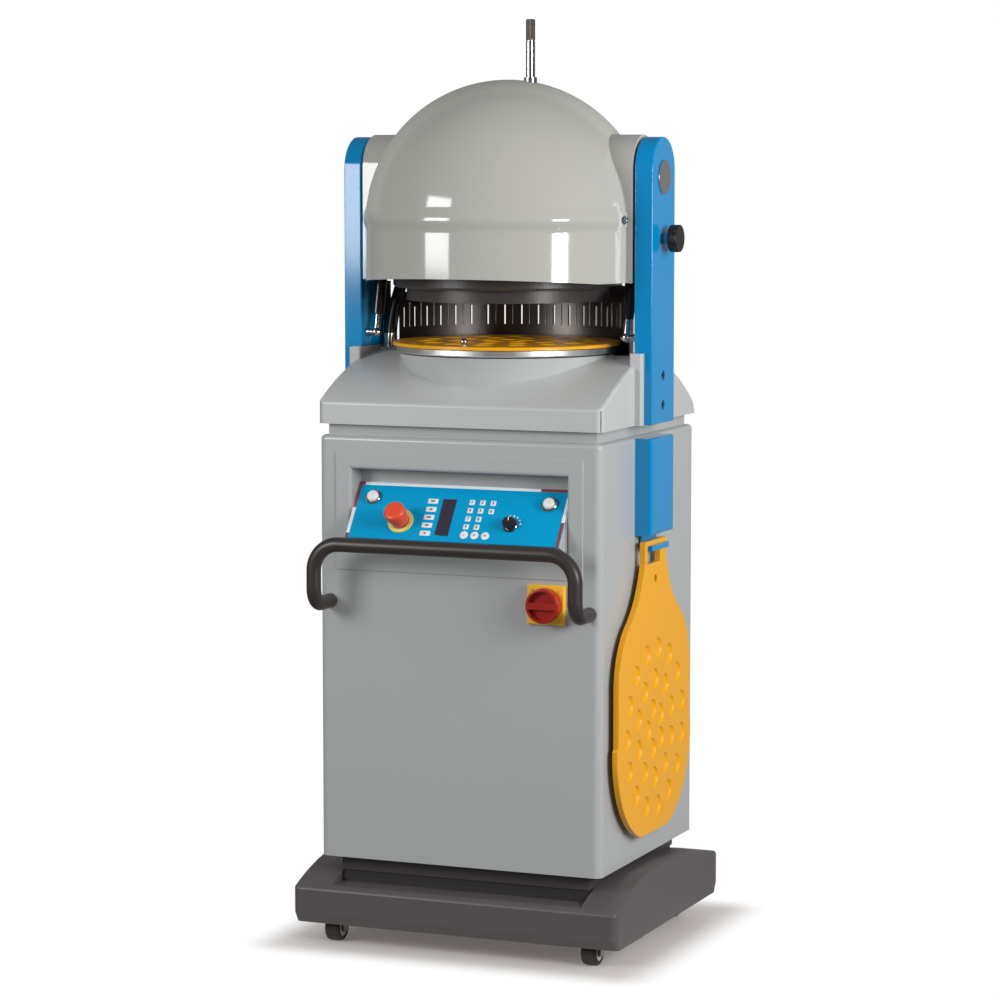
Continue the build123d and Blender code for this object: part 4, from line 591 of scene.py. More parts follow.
def turned_metal_group():
    """Metal off a lathe: fine rings about an upright axis."""
    group, given, place = new_effect("turned_metal", 0.6, 0.25, 0.12,
                                     ("Axis", "NodeSocketVector", (0.0, 0.0, 0.0)),
                                     ("Rings", "NodeSocketFloat", 2600.0))
    off_axis = parts_of(group, vector_node(group, "SUBTRACT", place, given["Axis"])["Vector"])
    reach = math_node(group, "ADD", length_node(group, off_axis["X"], off_axis["Y"]), off_axis["Z"])
    rings = math_node(group, "SINE", math_node(group, "MULTIPLY", reach, given["Rings"]))
    clouds = noise_node(group, place, scale=60.0, detail=3.0)
    wave = math_node(group, "ADD", math_node(group, "MULTIPLY", rings, 0.25), clouds)
    return close_effect(group, given, wave, around_one(group, wave, amount=0.5), wave)


def moulded_skin_group():
    """Moulded plastic or rubber: a dull fine grain with a little unevenness of tone."""
    group, given, place = new_effect("moulded_skin", 0.1, 0.5, 0.1, ("Grain", "NodeSocketFloat", 1400.0))
    grain = noise_node(group, place, scale=given["Grain"], detail=3.0)
    clouds = noise_node(group, place, scale=40.0, detail=2.0)
    return close_effect(group, given, clouds, around_one(group, grain, amount=0.4), grain)


def hammered_coat_group():
    """Hammer enamel: small shallow dimples with a lighter speckle."""
    group, given, place = new_effect("hammered_coat", 0.2, 0.3, 0.5, ("Dimples", "NodeSocketFloat", 260.0))
    cells = new_node(group, "ShaderNodeTexVoronoi", {"Vector": place, "Scale": given["Dimples"]},
                     feature="SMOOTH_F1")
    dimples = cells.outputs["Distance"]
    clouds = noise_node(group, place, scale=120.0, detail=4.0)
    speckle = math_node(group, "ADD", math_node(group, "MULTIPLY", dimples, 0.7), clouds)
    tone = math_node(group, "SUBTRACT", speckle, 0.3)
    return close_effect(group, given, tone, around_one(group, clouds, amount=0.5), dimples)


SPRAYED = sprayed_coat_group()
DRAWN = drawn_metal_group()
TURNED = turned_metal_group()
MOULDED = moulded_skin_group()
HAMMERED = hammered_coat_group()


# Finishes

def new_material(name):
    material = bpy.data.materials.new(name)
    material.use_nodes = True
    return material


def nodes_of(material):
    """A material's node tree and the shader in it."""
    return material.node_tree, material.node_tree.nodes["Principled BSDF"]


def finish(name, group, settings, metallic=0.0, relief=0.1, depth=0.1 * MM, coat=0.0, specular=SPECULAR):
    """A material whose tone, gloss and relief come from one of the shared effects."""
    material = new_material(name)
    tree, shader = nodes_of(material)
    effect = new_node(tree, "ShaderNodeGroup", settings, node_tree=group)
    bump = bump_node(tree, effect.outputs["Height"], relief, depth)
    give(tree, shader, {"Metallic": metallic, "Coat Weight": coat, "Coat Roughness": COAT_ROUGHNESS,
                        "Specular IOR Level": specular, "Base Color": effect.outputs["Colour"],
                        "Roughness": effect.outputs["Roughness"], "Normal": bump.outputs["Normal"]})
    return material


def paint(name, colour, gloss, tone=0.06, peel=420.0, coat=0.0, relief=0.08, specular=SPECULAR):
    return finish(name, SPRAYED, {"Colour": colour, "Gloss": gloss, "Tone": tone, "Peel": peel},
                  relief=relief, coat=coat, specular=specular)


def plastic(name, colour, gloss, tone=0.1, grain=1400.0, relief=0.1):
    return finish(name, MOULDED, {"Colour": colour, "Gloss": gloss, "Tone": tone, "Grain": grain},
                  relief=relief)


def drawn(name, colour, gloss, stretch, tone=0.18, relief=0.06):
    return finish(name, DRAWN, {"Colour": colour, "Gloss": gloss, "Tone": tone, "Stretch": stretch},
                  metallic=1.0, relief=relief)


def lathe(name, colour, gloss, axis, tone=0.12, rings=2600.0, relief=0.05):
    settings = {"Colour": colour, "Gloss": gloss, "Tone": tone, "Axis": axis, "Rings": rings}
    return finish(name, TURNED, settings, metallic=1.0, relief=relief)


def plated(name):
    return finish(name, SPRAYED, {"Colour": linear(208, 207, 205), "Gloss": 0.14, "Tone": 0.04, "Peel": 90.0},
                  metallic=1.0, relief=0.01)


def hammered(name, colour, gloss, tone, dimples):
    return finish(name, HAMMERED, {"Colour": colour, "Gloss": gloss, "Tone": tone, "Dimples": dimples},
                  relief=0.5, depth=0.5 * MM)


def fed(shader, label):
    """What feeds one of the shader's sockets so far."""
    return shader.inputs[label].links[0].from_socket


def colour_over(tree, shader, mask, colour):
    """Lay another colour over the finish's own where the mask is one."""
    layers = {"Factor": mask, "A": fed(shader, "Base Color"), "B": colour}
    blend = new_node(tree, "ShaderNodeMix", layers, data_type="RGBA")
    give(tree, shader, {"Base Color": blend.outputs["Result"]})


def guide_rod_plating():
    """Bright rod with a darker, straight-knurled grip above its groove."""
    material = plated("guide_rod_plating")
    tree, shader = nodes_of(material)
    place = parts_of(tree, place_on_piece(tree))
    grip = math_node(tree, "GREATER_THAN", place["Z"], ROD_GRIP_LOW)
    colour_over(tree, shader, grip, linear(106, 98, 92))
    dulled = math_node(tree, "MULTIPLY", grip, ROD_GRIP_GLOSS_LOSS)
    give(tree, shader, {"Roughness": math_node(tree, "ADD", fed(shader, "Roughness"), dulled)})
    across, along = (math_node(tree, "SUBTRACT", place[axis], middle) for axis, middle in zip("XY", ROD_AXIS))
    around = math_node(tree, "MULTIPLY", math_node(tree, "ARCTAN2", along, across), ROD_GRIP_RIDGES)
    ridges = math_node(tree, "MULTIPLY", math_node(tree, "SINE", around), grip)
    knurl = bump_node(tree, ridges, ROD_GRIP_RELIEF, ROD_GRIP_DEPTH)
    give(tree, knurl, {"Normal": fed(shader, "Normal")})
    give(tree, shader, {"Normal": knurl.outputs["Normal"]})
    return material


def hood_lacquer():
    """Lacquered sheet; on the dome its mirror image fades where it is seen at a very flat angle."""
    material = paint("hood_shell", linear(178, 177, 171), 0.10, tone=0.02, peel=300.0, coat=HOOD_COAT,
                     relief=0.02)
    tree, shader = nodes_of(material)
    flatness = new_node(tree, "ShaderNodeLayerWeight").outputs["Facing"]
    height = parts_of(tree, place_on_piece(tree))["Z"]
    skirt = map_node(tree, height, HOOD_SKIRT_END, (1.0, 0.0), smooth=True)
    kept = map_node(tree, flatness, HOOD_FLAT, (1.0, skirt), smooth=True)
    for label, full in (("Coat Weight", HOOD_COAT), ("Specular IOR Level", SPECULAR)):
        give(tree, shader, {label: math_node(tree, "MULTIPLY", kept, full)})
    return material


def gas_spring_coat():
    """Gloss black tube over a bright ball socket: the socket and its stem lie below the tube's end."""
    material = paint("gas_black", linear(26, 25, 25), 0.16, tone=0.05, coat=0.3)
    tree, shader = nodes_of(material)
    height = parts_of(tree, place_on_piece(tree))["Z"]
    bright = math_node(tree, "LESS_THAN", height, GAS_TUBE_FOOT)
    colour_over(tree, shader, bright, linear(206, 205, 203))
    give(tree, shader, {"Metallic": bright})
    return material


TABLE_AXIS = tuple(middle_of("table_disc"))

FINISHES = {
    "base_paint": paint("base_paint", linear(90, 84, 85), 0.40, tone=0.06, peel=260.0, relief=0.14),
    "dark_paint": paint("dark_paint", linear(48, 45, 45), 0.45, tone=0.08),
    "cabinet_paint": paint("cabinet_paint", linear(174, 177, 177), 0.25, tone=0.03, peel=520.0, coat=0.2),
    "cover_shell": paint("cover_shell", linear(187, 190, 189), 0.30, tone=0.02, coat=0.12),
    "hood_shell": hood_lacquer(),
    "blue_paint": paint("blue_paint", linear(0, 136, 196), 0.12, tone=0.03, peel=240.0, coat=0.25,
                        relief=0.10),
    "panel_film": paint("panel_film", linear(0, 156, 208), 0.38, tone=0.03, peel=900.0, relief=0.05,
                        specular=0.12),
    "handle_grip": plastic("handle_grip", linear(56, 50, 47), 0.36, grain=900.0, relief=0.12),
    "white_cap": plastic("white_cap", linear(232, 232, 228), 0.24, tone=0.03),
    "red_cap": plastic("red_cap", linear(226, 80, 50), 0.30, tone=0.06),
    "yellow_collar": plastic("yellow_collar", linear(240, 220, 120), 0.34, tone=0.05),
    "switch_yellow": plastic("switch_yellow", linear(246, 188, 50), 0.34, tone=0.05),
    "switch_red": plastic("switch_red", linear(176, 40, 28), 0.26, tone=0.08),
    "black_plastic": plastic("black_plastic", linear(34, 33, 34), 0.42, grain=700.0, relief=0.2),
    "chrome": plated("chrome"),
    "steel": drawn("steel", linear(170, 170, 170), 0.32, (500.0, 500.0, 90.0)),
    # The guard's stainless is darkened far below bare steel: painted shade and painted dark reflection
    "stainless": drawn("stainless", linear(100, 95, 92), 0.34, (14.0, 14.0, 900.0), tone=0.16),
    "cast_parts": paint("cast_parts", linear(96, 98, 100), 0.55, tone=0.12, peel=180.0, relief=0.35),
    "tank": paint("tank", linear(70, 78, 92), 0.42, tone=0.08),
    "table_aluminium": lathe("table_aluminium", linear(232, 231, 229), 0.40, TABLE_AXIS, tone=0.08),
    "plate_yellow": plastic("plate_yellow", linear(238, 168, 20), 0.26, tone=0.05, grain=600.0, relief=0.03),
    "ring_enamel": hammered("ring_enamel", linear(66, 60, 58), 0.34, tone=0.5, dimples=420.0),
    "segments": lathe("segments", linear(188, 189, 190), 0.3, TABLE_AXIS, tone=0.1),
    "gas_black": gas_spring_coat(),
    "rubber": plastic("rubber", linear(26, 26, 27), 0.5, grain=500.0, relief=0.25),
    "castor_tread": plastic("castor_tread", linear(40, 39, 39), 0.5, grain=420.0, relief=0.25),
}

key_white = plastic("key_white", linear(234, 237, 238), 0.36, tone=0.03)
border_white = plastic("border_white", linear(236, 240, 242), 0.4, tone=0.03)
border_maroon = plastic("border_maroon", linear(140, 66, 76), 0.4, tone=0.08)
mark_ink = plastic("mark_ink", linear(36, 38, 44), 0.5, tone=0.1)
display_lens = plastic("display_lens", linear(58, 54, 70), 0.14, tone=0.1)
crimp_steel = lathe("crimp_steel", linear(196, 196, 192), 0.26, (0.0, 0.0, 0.0), rings=3000.0)
hose_rubber = plastic("hose_rubber", linear(24, 24, 25), 0.36, grain=650.0, relief=0.25)
rim_grey = plastic("rim_grey", linear(196, 194, 192), 0.4, tone=0.05)
# Lighter copy of the guard's steel for its folds: a painted highlight
fold_highlight_steel = drawn("fold_highlight_steel", linear(206, 203, 199), 0.40, (14.0, 14.0, 900.0), tone=0.10)
rail_paint = paint("rail_paint", linear(72, 67, 66), 0.40, tone=0.06, peel=260.0)

for part in frame["record"]["subparts"]:
    mesh = nodes[part["node"]].data
    mesh.materials.clear()
    mesh.materials.append(FINISHES[part["material_slot"]])
nodes["press_rods"].data.materials[0] = guide_rod_plating()


# Studio: floor of painted shadow and glow round the base, white background, soft boxes

def studio_floor():
    """A grey floor round the base, a painted shadow that fades out beyond it; its glow is painted light that
    lifts the shade under the base.
    """
    deselect()
    bpy.ops.mesh.primitive_plane_add(size=FLOOR_SIZE)
    floor = bpy.context.object
    floor.name = "studio_floor"
    material = new_material("studio_floor")
    tree, shader = nodes_of(material)
    give(tree, shader, {"Base Color": FLOOR_SHADOW_TONE, "Roughness": FLOOR_ROUGHNESS, "Emission Color": FLOOR_SHADE_GLOW,
                        "Emission Strength": FLOOR_SHADE_GLOW_STRENGTH})
    place = parts_of(tree, place_on_piece(tree))
    beyond = []
    for axis, half in zip("XY", FLOOR_PATCH):
        off_axis = math_node(tree, "ABSOLUTE", place[axis])
        beyond.append(math_node(tree, "MAXIMUM", math_node(tree, "SUBTRACT", off_axis, half), 0.0))
    fade = map_node(tree, length_node(tree, *beyond), FLOOR_FADE, smooth=True)
    clear = new_node(tree, "ShaderNodeBsdfTransparent")
    layers = {"Fac": fade, 1: shader.outputs["BSDF"], 2: clear.outputs["BSDF"]}
    mix = new_node(tree, "ShaderNodeMixShader", layers)
    give(tree, tree.nodes["Material Output"], {"Surface": mix.outputs["Shader"]})
    floor.data.materials.append(material)


def studio_world():
    """White behind the object, a soft even light, and a pale backdrop in dark surroundings to reflect."""
    world = bpy.data.worlds.new("studio")
    bpy.context.scene.world = world
    world.use_nodes = True
    tree = world.node_tree
    tree.nodes.clear()
    ray = new_node(tree, "ShaderNodeLightPath").outputs
    way = new_node(tree, "ShaderNodeTexCoord").outputs["Generated"]
    facing = vector_node(tree, "DOT_PRODUCT", way, BACKDROP_WAY)["Value"]
    backdrop = map_node(tree, facing, BACKDROP_EDGE, (SURROUND, BACKDROP))
    ambient = map_node(tree, parts_of(tree, way)["Z"], AMBIENT_CHANGE, (AMBIENT_BELOW, AMBIENT))
    mirrored = math_node(tree, "MULTIPLY", ray["Is Glossy Ray"], backdrop)
    diffuse = math_node(tree, "SUBTRACT", 1.0, ray["Is Glossy Ray"])
    level = math_node(tree, "ADD", mirrored, math_node(tree, "MULTIPLY", diffuse, ambient))
    seen = math_node(tree, "MAXIMUM", ray["Is Camera Ray"], ray["Is Transmission Ray"])
    strength = math_node(tree, "MAXIMUM", level, seen)
    background = new_node(tree, "ShaderNodeBackground", {"Color": (1.0, 1.0, 1.0, 1.0), "Strength": strength})
    new_node(tree, "ShaderNodeOutputWorld", {"Surface": background.outputs["Background"]})


def soft_box(name, place, aim, size, power, mirrored=True):
    """A rectangular lamp; a fill that only brightens isn't mirrored in the gloss."""
    light = bpy.data.lights.new(name, "AREA")
    light.shape = "RECTANGLE"
    light.size, light.size_y = size
    light.energy = power
    lamp = bpy.data.objects.new(name, light)
    lamp.location = place
    lamp.rotation_euler = (Vector(aim) - Vector(place)).to_track_quat("-Z", "Y").to_euler()
    lamp.visible_glossy = mirrored
    bpy.context.collection.objects.link(lamp)


def studio_camera():
    data = bpy.data.cameras.new("photo_camera")
    data.sensor_width = CAMERA_SENSOR
    data.lens = CAMERA_LENS
    camera = bpy.data.objects.new("photo_camera", data)
    camera.location = CAMERA_PLACE
    camera.rotation_euler = [math.radians(angle) for angle in CAMERA_TURN]
    bpy.context.collection.objects.link(camera)
    bpy.context.scene.camera = camera


bpy.context.scene.view_settings.view_transform = "Standard"
studio_camera()
studio_floor()
studio_world()
soft_box("left_box", place=(-1.82, -2.68, 1.75), aim=(0.0, 0.0, 1.45), size=(1.20, 1.25), power=46.0)
soft_box("right_box", place=(2.89, -1.49, 1.475), aim=(0.0, 0.0, 1.40), size=(0.70, 0.85), power=46.0)
soft_box("right_fill", place=(3.90, -0.60, 2.10), aim=(0.0, 0.0, 1.2), size=(2.40, 2.40), power=84.0,
         mirrored=False)
soft_box("rear_fill", place=(-1.60, 3.80, 1.30), aim=(0.0, 0.0, 0.9), size=(2.40, 2.00), power=70.0,
         mirrored=False)


# Hydraulic hoses and their crimped ends

def hose_curve(name, route, radius):
    curve = bpy.data.curves.new(name, "CURVE")
    curve.dimensions = "3D"
    spline = curve.splines.new("NURBS")
    spline.points.add(len(route) - 1)
    for point, place in zip(spline.points, route):
        point.co = (*place, 1.0)
    spline.order_u = HOSE_CURVE_ORDER
    spline.use_endpoint_u = True
    curve.resolution_u, curve.bevel_resolution = HOSE_STEPS
    curve.bevel_depth = radius
    curve.use_fill_caps = radius > 0.0
    hose = bpy.data.objects.new(name, curve)
    bpy.context.collection.objects.link(hose)
    return hose


def hose_path(route):
    """The points that the hose's middle runs through."""
    line = hose_curve("hose_middle", route, 0.0)
    mesh = bpy.data.meshes.new_from_object(line)
    points = [tuple(vertex.co) for vertex in mesh.vertices]
    bpy.data.meshes.remove(mesh)
    bpy.data.objects.remove(line)
    return points


def hydraulic_hose(number, route):
    hose = hose_curve(f"hydraulic_hose_{number}", route, HOSE_R)
    take(hose)
    bpy.ops.object.convert(target="MESH")
    hose = bpy.context.object
    bpy.ops.object.shade_smooth()
    hose.data.materials.clear()
    hose.data.materials.append(hose_rubber)
    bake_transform(hose)
    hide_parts("hydraulic_hoses")
    hose_path(route)


def crimp_ferrule():
    """A hose end: thick collar below, crimped sleeve above."""
    shoulder, start = COLLAR_H
    crimp = (FERRULE_LENGTH - start) / (2 * CRIMPS + 1)
    waist = FERRULE_R - CRIMP_DEPTH
    profile = [(HOSE_R, 0.0), (COLLAR_R, 0.0), (COLLAR_R, shoulder), (FERRULE_R, start)]
    for ring in range(CRIMPS):
        low = start + (2 * ring + 1) * crimp
        profile += [(FERRULE_R, low), (waist, low + CRIMP_SLOPE * crimp),
                    (waist, low + (1.0 - CRIMP_SLOPE) * crimp), (FERRULE_R, low + crimp)]
    profile += [(FERRULE_R, FERRULE_LENGTH - FERRULE_EDGE), (FERRULE_R - FERRULE_EDGE, FERRULE_LENGTH),
                (HOSE_R, FERRULE_LENGTH), (HOSE_R, 0.0)]
    return turned(profile, steps=24)


def hose_ends():
    ferrule = crimp_ferrule()
    lower = copies(ferrule, [shift(*route[0]) for route in HOSE_ROUTES], keep=True)
    upper = copies(ferrule, [shift(*route[-1]) @ turn("X", 180.0) for route in HOSE_ROUTES])
    dress(lower, "hose_ends_lower", "frame", crimp_steel)
    dress(upper, "hose_ends_upper", "head", crimp_steel)


for hose_number, hose_route in enumerate(HOSE_ROUTES, 1):
    hydraulic_hose(hose_number, hose_route)
hose_ends()


# Control panel: border, keys, display and timer

def panel_plane():
    """The panel's sloping front: its plane as a matrix, its width and its length up the slope."""
    mesh = nodes["control_panel"].data
    front = max((face for face in mesh.polygons if face.normal.y < FRONTWARD), key=lambda face: face.area)
    out = front.normal.normalized()
    across = Vector((1.0, 0.0, 0.0))
    up = out.cross(across).normalized()
    on_face = [vertex.co for vertex in mesh.vertices if abs((vertex.co - front.center).dot(out)) < NEAR]
    ups = [point.dot(up) for point in on_face]
    sides = [point.dot(across) for point in on_face]
    middle = (across * (min(sides) + max(sides)) / 2.0 + up * (min(ups) + max(ups)) / 2.0
              + out * front.center.dot(out))
    matrix = Matrix((across, up, out)).transposed().to_4x4()
    matrix.translation = middle
    return matrix, max(sides) - min(sides), max(ups) - min(ups)


PANEL, PANEL_WIDTH, PANEL_LENGTH = panel_plane()
timer_spot = PANEL.inverted() @ Vector(middle_of("timer_knob"))
TIMER = shift(timer_spot.x, timer_spot.y, 0.0)


def on_panel(pieces, name, material, body="frame", at=Matrix()):
    """Join pieces that were made flat, lay them on the panel and finish them."""
    dress(seat(joined(pieces), PANEL @ at), name, body, material)


def film_strip(width, length, x, y):
    strip = block((width, length, FILM_RISE), (x, y, FILM_RISE / 2.0))
    inset_top(strip, FILM_EDGE)
    return strip


def panel_border():
    """Printed edge of the panel: light along most of the top and half of each side, maroon elsewhere."""
    half_width, half_length = PANEL_WIDTH / 2.0, PANEL_LENGTH / 2.0
    left = -half_width + BORDER_WIDTH / 2.0
    top = half_length - BORDER_WIDTH / 2.0
    below = half_length - BORDER_WIDTH

    def along(low, high):
        return film_strip(high - low, BORDER_WIDTH, (low + high) / 2.0, top)

    def down(x, low, high):
        return film_strip(BORDER_WIDTH, high - low, x, (low + high) / 2.0)

    light = [along(*BORDER_TOP_LIGHT), down(left, *BORDER_LEFT_LIGHT), down(-left, *BORDER_RIGHT_LIGHT)]
    dark = [along(-half_width, BORDER_TOP_LIGHT[0]), along(BORDER_TOP_LIGHT[1], half_width),
            down(left, -half_length, BORDER_LEFT_LIGHT[0]), down(left, BORDER_LEFT_LIGHT[1], below),
            down(-left, -half_length, BORDER_RIGHT_LIGHT[0]), down(-left, BORDER_RIGHT_LIGHT[1], below)]
    on_panel(light, "panel_border_light", border_white)
    on_panel(dark, "panel_border_dark", border_maroon)


def key_cap(width, length, x, y):
    """A film key: rounded corners and a raised, softly edged top."""
    key = rounded_block((width, length, KEY_RISE), (x, y, KEY_RISE / 2.0), KEY_CORNER, segments=4)
    inset_top(key, (KEY_EDGE, KEY_CROWN))
    return key


def on_key(mark, x, y):
    """Lay a mark on the top of a key."""
    return seat(mark, shift(x, y, KEY_TOP + MARK_RISE / 2.0))


def menu_keys():
    caps = [key_cap(*MENU_KEY, MENU_KEY_X, row) for row in MENU_KEY_ROWS]
    on_panel(caps, "menu_keys", key_white)
    marks = []
    for width, row in zip(MENU_MARK_WIDTHS, MENU_KEY_ROWS):
        size = (width, MENU_MARK_HEIGHT, MARK_RISE)
        mark = rounded_block(size, (0.0, 0.0, 0.0), MENU_MARK_CORNER, segments=3)
        marks.append(on_key(mark, MENU_KEY_X, row))
    on_panel(marks, "menu_key_marks", mark_ink)


def number_keys():
    caps, marks = [], []
    for row, text in zip(NUMBER_ROWS, NUMBER_MARKS):
        for column, digit in zip(NUMBER_COLUMNS, text):
            caps.append(key_cap(NUMBER_KEY, NUMBER_KEY, column, row))
            marks.append(on_key(lettering(digit, MARK_SIZE), column, row))
    on_panel(caps, "number_keys", key_white)
    on_panel(marks, "number_key_marks", mark_ink)


def round_keys():
    cap = turned([(0.0, 0.0), (ROUND_KEY_R, 0.0), (ROUND_KEY_R, KEY_RISE), (ROUND_KEY_R - KEY_EDGE, KEY_TOP),
                  (0.0, KEY_TOP)], steps=40)
    caps = copies(cap, [shift(column, ROUND_KEY_Y, 0.0) for column in NUMBER_COLUMNS])
    on_panel([caps], "round_keys", key_white)
    marks = [on_key(lettering(sign, MARK_SIZE), column, ROUND_KEY_Y)
             for column, sign in zip(NUMBER_COLUMNS, ROUND_MARKS)]
    on_panel(marks, "round_key_marks", mark_ink)


def display_window():
    width, length = DISPLAY_X[1] - DISPLAY_X[0], DISPLAY_Y[1] - DISPLAY_Y[0]
    window = block((width, length, KEY_RISE), (sum(DISPLAY_X) / 2.0, sum(DISPLAY_Y) / 2.0, KEY_RISE / 2.0))
    inset_top(window, *DISPLAY_STEPS)
    on_panel([window], "display_window", display_lens)


def timer_scale():
    """Dashes of growing width round the timer knob."""
    width, length = DIAL_TICK
    narrow, growth = DIAL_TICK_GROWTH
    start, end = DIAL_SPAN
    ticks = []
    for count in range(DIAL_TICKS):
        share = count / (DIAL_TICKS - 1)
        size = (width * (narrow + growth * share), length, FILM_RISE)
        tick = rounded_block(size, (0.0, 0.0, FILM_RISE / 2.0), DIAL_TICK_CORNER, segments=2)
        angle = start + (end - start) * share
        reach = shift(0.0, DIAL_RADIUS + length / 2.0, 0.0)
        ticks.append(seat(tick, TIMER @ turn("Z", angle - 90.0) @ reach))
    on_panel(ticks, "timer_scale", border_white)


def timer_skirt():
    """Bright ring round the foot of the timer knob."""
    inner, outer = SKIRT_R
    low, high = SKIRT_Z
    skirt = turned([(inner, low), (outer, low), (outer, high - SKIRT_CHAMFER), (outer - SKIRT_CHAMFER, high),
                    (inner, high), (inner, low)])
    on_panel([skirt], "timer_skirt", FINISHES["chrome"], body="timer", at=TIMER)


def timer_pointer():
    """Light pointer on the top of the timer knob."""
    pointer = rounded_block(POINTER, (0.0, 0.0, 0.0), POINTER_CORNER, segments=2)
    to_panel = PANEL.inverted()
    top = max((to_panel @ vertex.co).z for vertex in nodes["timer_knob"].data.vertices)
    on_panel([pointer], "timer_pointer", border_white, body="timer",
             at=TIMER @ shift(0.0, POINTER_AT, top + POINTER_LIFT))


# Hood bead and screw caps, guard lips, folds and rim, dark strips of painted shade, plinth rail

def hood_bead():
    """A rolled bead that swells out of the hood where the bell meets its straight skirt."""
    profile = []
    for step in range(BEAD_POINTS + 1):
        swing = 2.0 * step / BEAD_POINTS - 1.0
        height = BEAD_MIDDLE + BEAD_HALF * swing
        above = max(height - HOOD_CENTRE_Z, 0.0)
        swell = BEAD_RISE * math.cos(swing * math.pi / 2.0) ** 2
        profile.append((math.sqrt(HOOD_R ** 2 - above ** 2) + swell - BEAD_SUNK, height))
    bead = hood_arc(profile, BEAD_STEPS, BEAD_HALF_ANGLE, facing=-90.0)
    dress(bead, "hood_bead", "head", FINISHES["hood_shell"], angle=60.0)


def hood_screw_caps():
    """Socket caps with a washer over the two screws of the hood."""
    socket, socket_edge = CAP_SOCKET_R
    floor = CAP_H - CAP_SOCKET_DEPTH
    cap = turned([(0.0, floor), (socket, floor), (socket_edge, CAP_H), (CAP_R - CAP_CHAMFER, CAP_H),
                  (CAP_R, CAP_H - CAP_CHAMFER), (CAP_R, WASHER_H), (WASHER_R - WASHER_CHAMFER, WASHER_H),
                  (WASHER_R, WASHER_H - WASHER_CHAMFER), (WASHER_R, -WASHER_SUNK), (0.0, -WASHER_SUNK)],
                 steps=32)
    outward = shift(CAP_SEAT, 0.0, 0.0) @ turn("Y", 90.0)
    caps = copies(cap, round_hood_axis((-CAP_ANGLE, CAP_ANGLE - 180.0), CAP_Z, outward))
    dress(caps, "hood_screw_caps", "head", FINISHES["chrome"])


def guard_lips():
    """Folded lips that narrow the slots of the guard."""
    width, sheet = LIP_SIZE
    low, high = LIP_Z
    lip = block((width, sheet, high - low), (width / 2.0, 0.0, (low + high) / 2.0))
    bevel_edges(lip, lambda edge: upright_edge(edge) and edge.verts[0].co.x > width / 2.0, LIP_CORNER,
                segments=2)
    at_slot = shift(LIP_EDGE, GUARD_MIDDLE_R, 0.0) @ turn("Z", LIP_TURN)
    lips = copies(lip, round_hood_axis(fan(LIP_COUNT, LIP_SPREAD), fitting=at_slot))
    dress(lips, "guard_lips", "frame", FINISHES["stainless"])


def guard_folds():
    """Pressed folds that stiffen the guard between its slots, in a lighter steel than the guard's: a painted
    highlight.
    """
    width, rise = FOLD_SIZE
    low, high = FOLD_Z
    middle = GUARD_INSIDE_R - rise / 2.0
    fold = block((width, rise, high - low), (0.0, middle, (low + high) / 2.0))
    bevel_edges(fold, lambda edge: upright_edge(edge) and edge.verts[0].co.y < middle, FOLD_CORNER,
                segments=3)
    folds = copies(fold, round_hood_axis(fan(FOLD_COUNT, FOLD_SPREAD)))
    dress(folds, "guard_folds", "frame", fold_highlight_steel)


def guard_rim():
    """A rim riveted round the outside of the guard, cut sloping so that the tilting hood clears it."""
    inner, outer = GUARD_RIM_R
    low, high = GUARD_RIM_LOW, GUARD_RIM_SIDE + 2.0 * GUARD_RIM_SLOPE * outer
    band = hood_arc([(inner, low), (outer, low), (outer, high), (inner, high)], GUARD_RIM_STEPS,
                    GUARD_RIM_HALF_ANGLE, facing=90.0)
    edit(band)
    bpy.ops.mesh.select_all(action="SELECT")
    bpy.ops.mesh.bisect(plane_co=(*HOOD_AXIS, GUARD_RIM_SIDE), plane_no=(0.0, -GUARD_RIM_SLOPE, 1.0),
                        use_fill=True, clear_outer=True)
    leave_edit()

    def on_cut(vertex):
        cut = GUARD_RIM_SIDE + GUARD_RIM_SLOPE * (vertex.co.y - HOOD_AXIS[1])
        return abs(vertex.co.z - cut) < NEAR

    bevel_edges(band, lambda edge: all(map(on_cut, edge.verts)), GUARD_RIM_CORNER, segments=2)
    dome = [(RIVET_R * across, RIVET_H * up) for across, up in RIVET_DOME]
    rivet = turned([*dome, (RIVET_R, -RIVET_SUNK), (0.0, -RIVET_SUNK)], steps=20)
    angles = [90.0 + side * angle for angle in RIVET_ANGLES for side in (1.0, -1.0)]
    outward = shift(outer, 0.0, 0.0) @ turn("Y", 90.0)
    rivets = copies(rivet, round_hood_axis(angles, RIVET_Z, outward))
    dress(joined([band, rivets]), "guard_rim", "frame", FINISHES["stainless"])


def upright_shade_strips():
    """Dark strips on the inner faces of the uprights, rounded along their free side: painted shade in the gap
    behind the gas springs.
    """
    thick, wide = SHADE_STRIP_SIZE
    low, high = SHADE_STRIP_Z
    shade_strip = block((thick, wide, high - low), (thick / 2.0, 0.0, (low + high) / 2.0))
    bevel_edges(shade_strip, lambda edge: upright_edge(edge) and edge.verts[0].co.x < thick / 2.0, SHADE_STRIP_CORNER,
                segments=4)
    inward = SHADE_STRIP_FACE - thick
    pair = copies(shade_strip, [shift(inward, SHADE_STRIP_Y, 0.0), shift(-inward, SHADE_STRIP_Y, 0.0) @ turn("Z", 180.0)])
    dress(pair, "upright_shade_strips", "frame", FINISHES["rubber"])


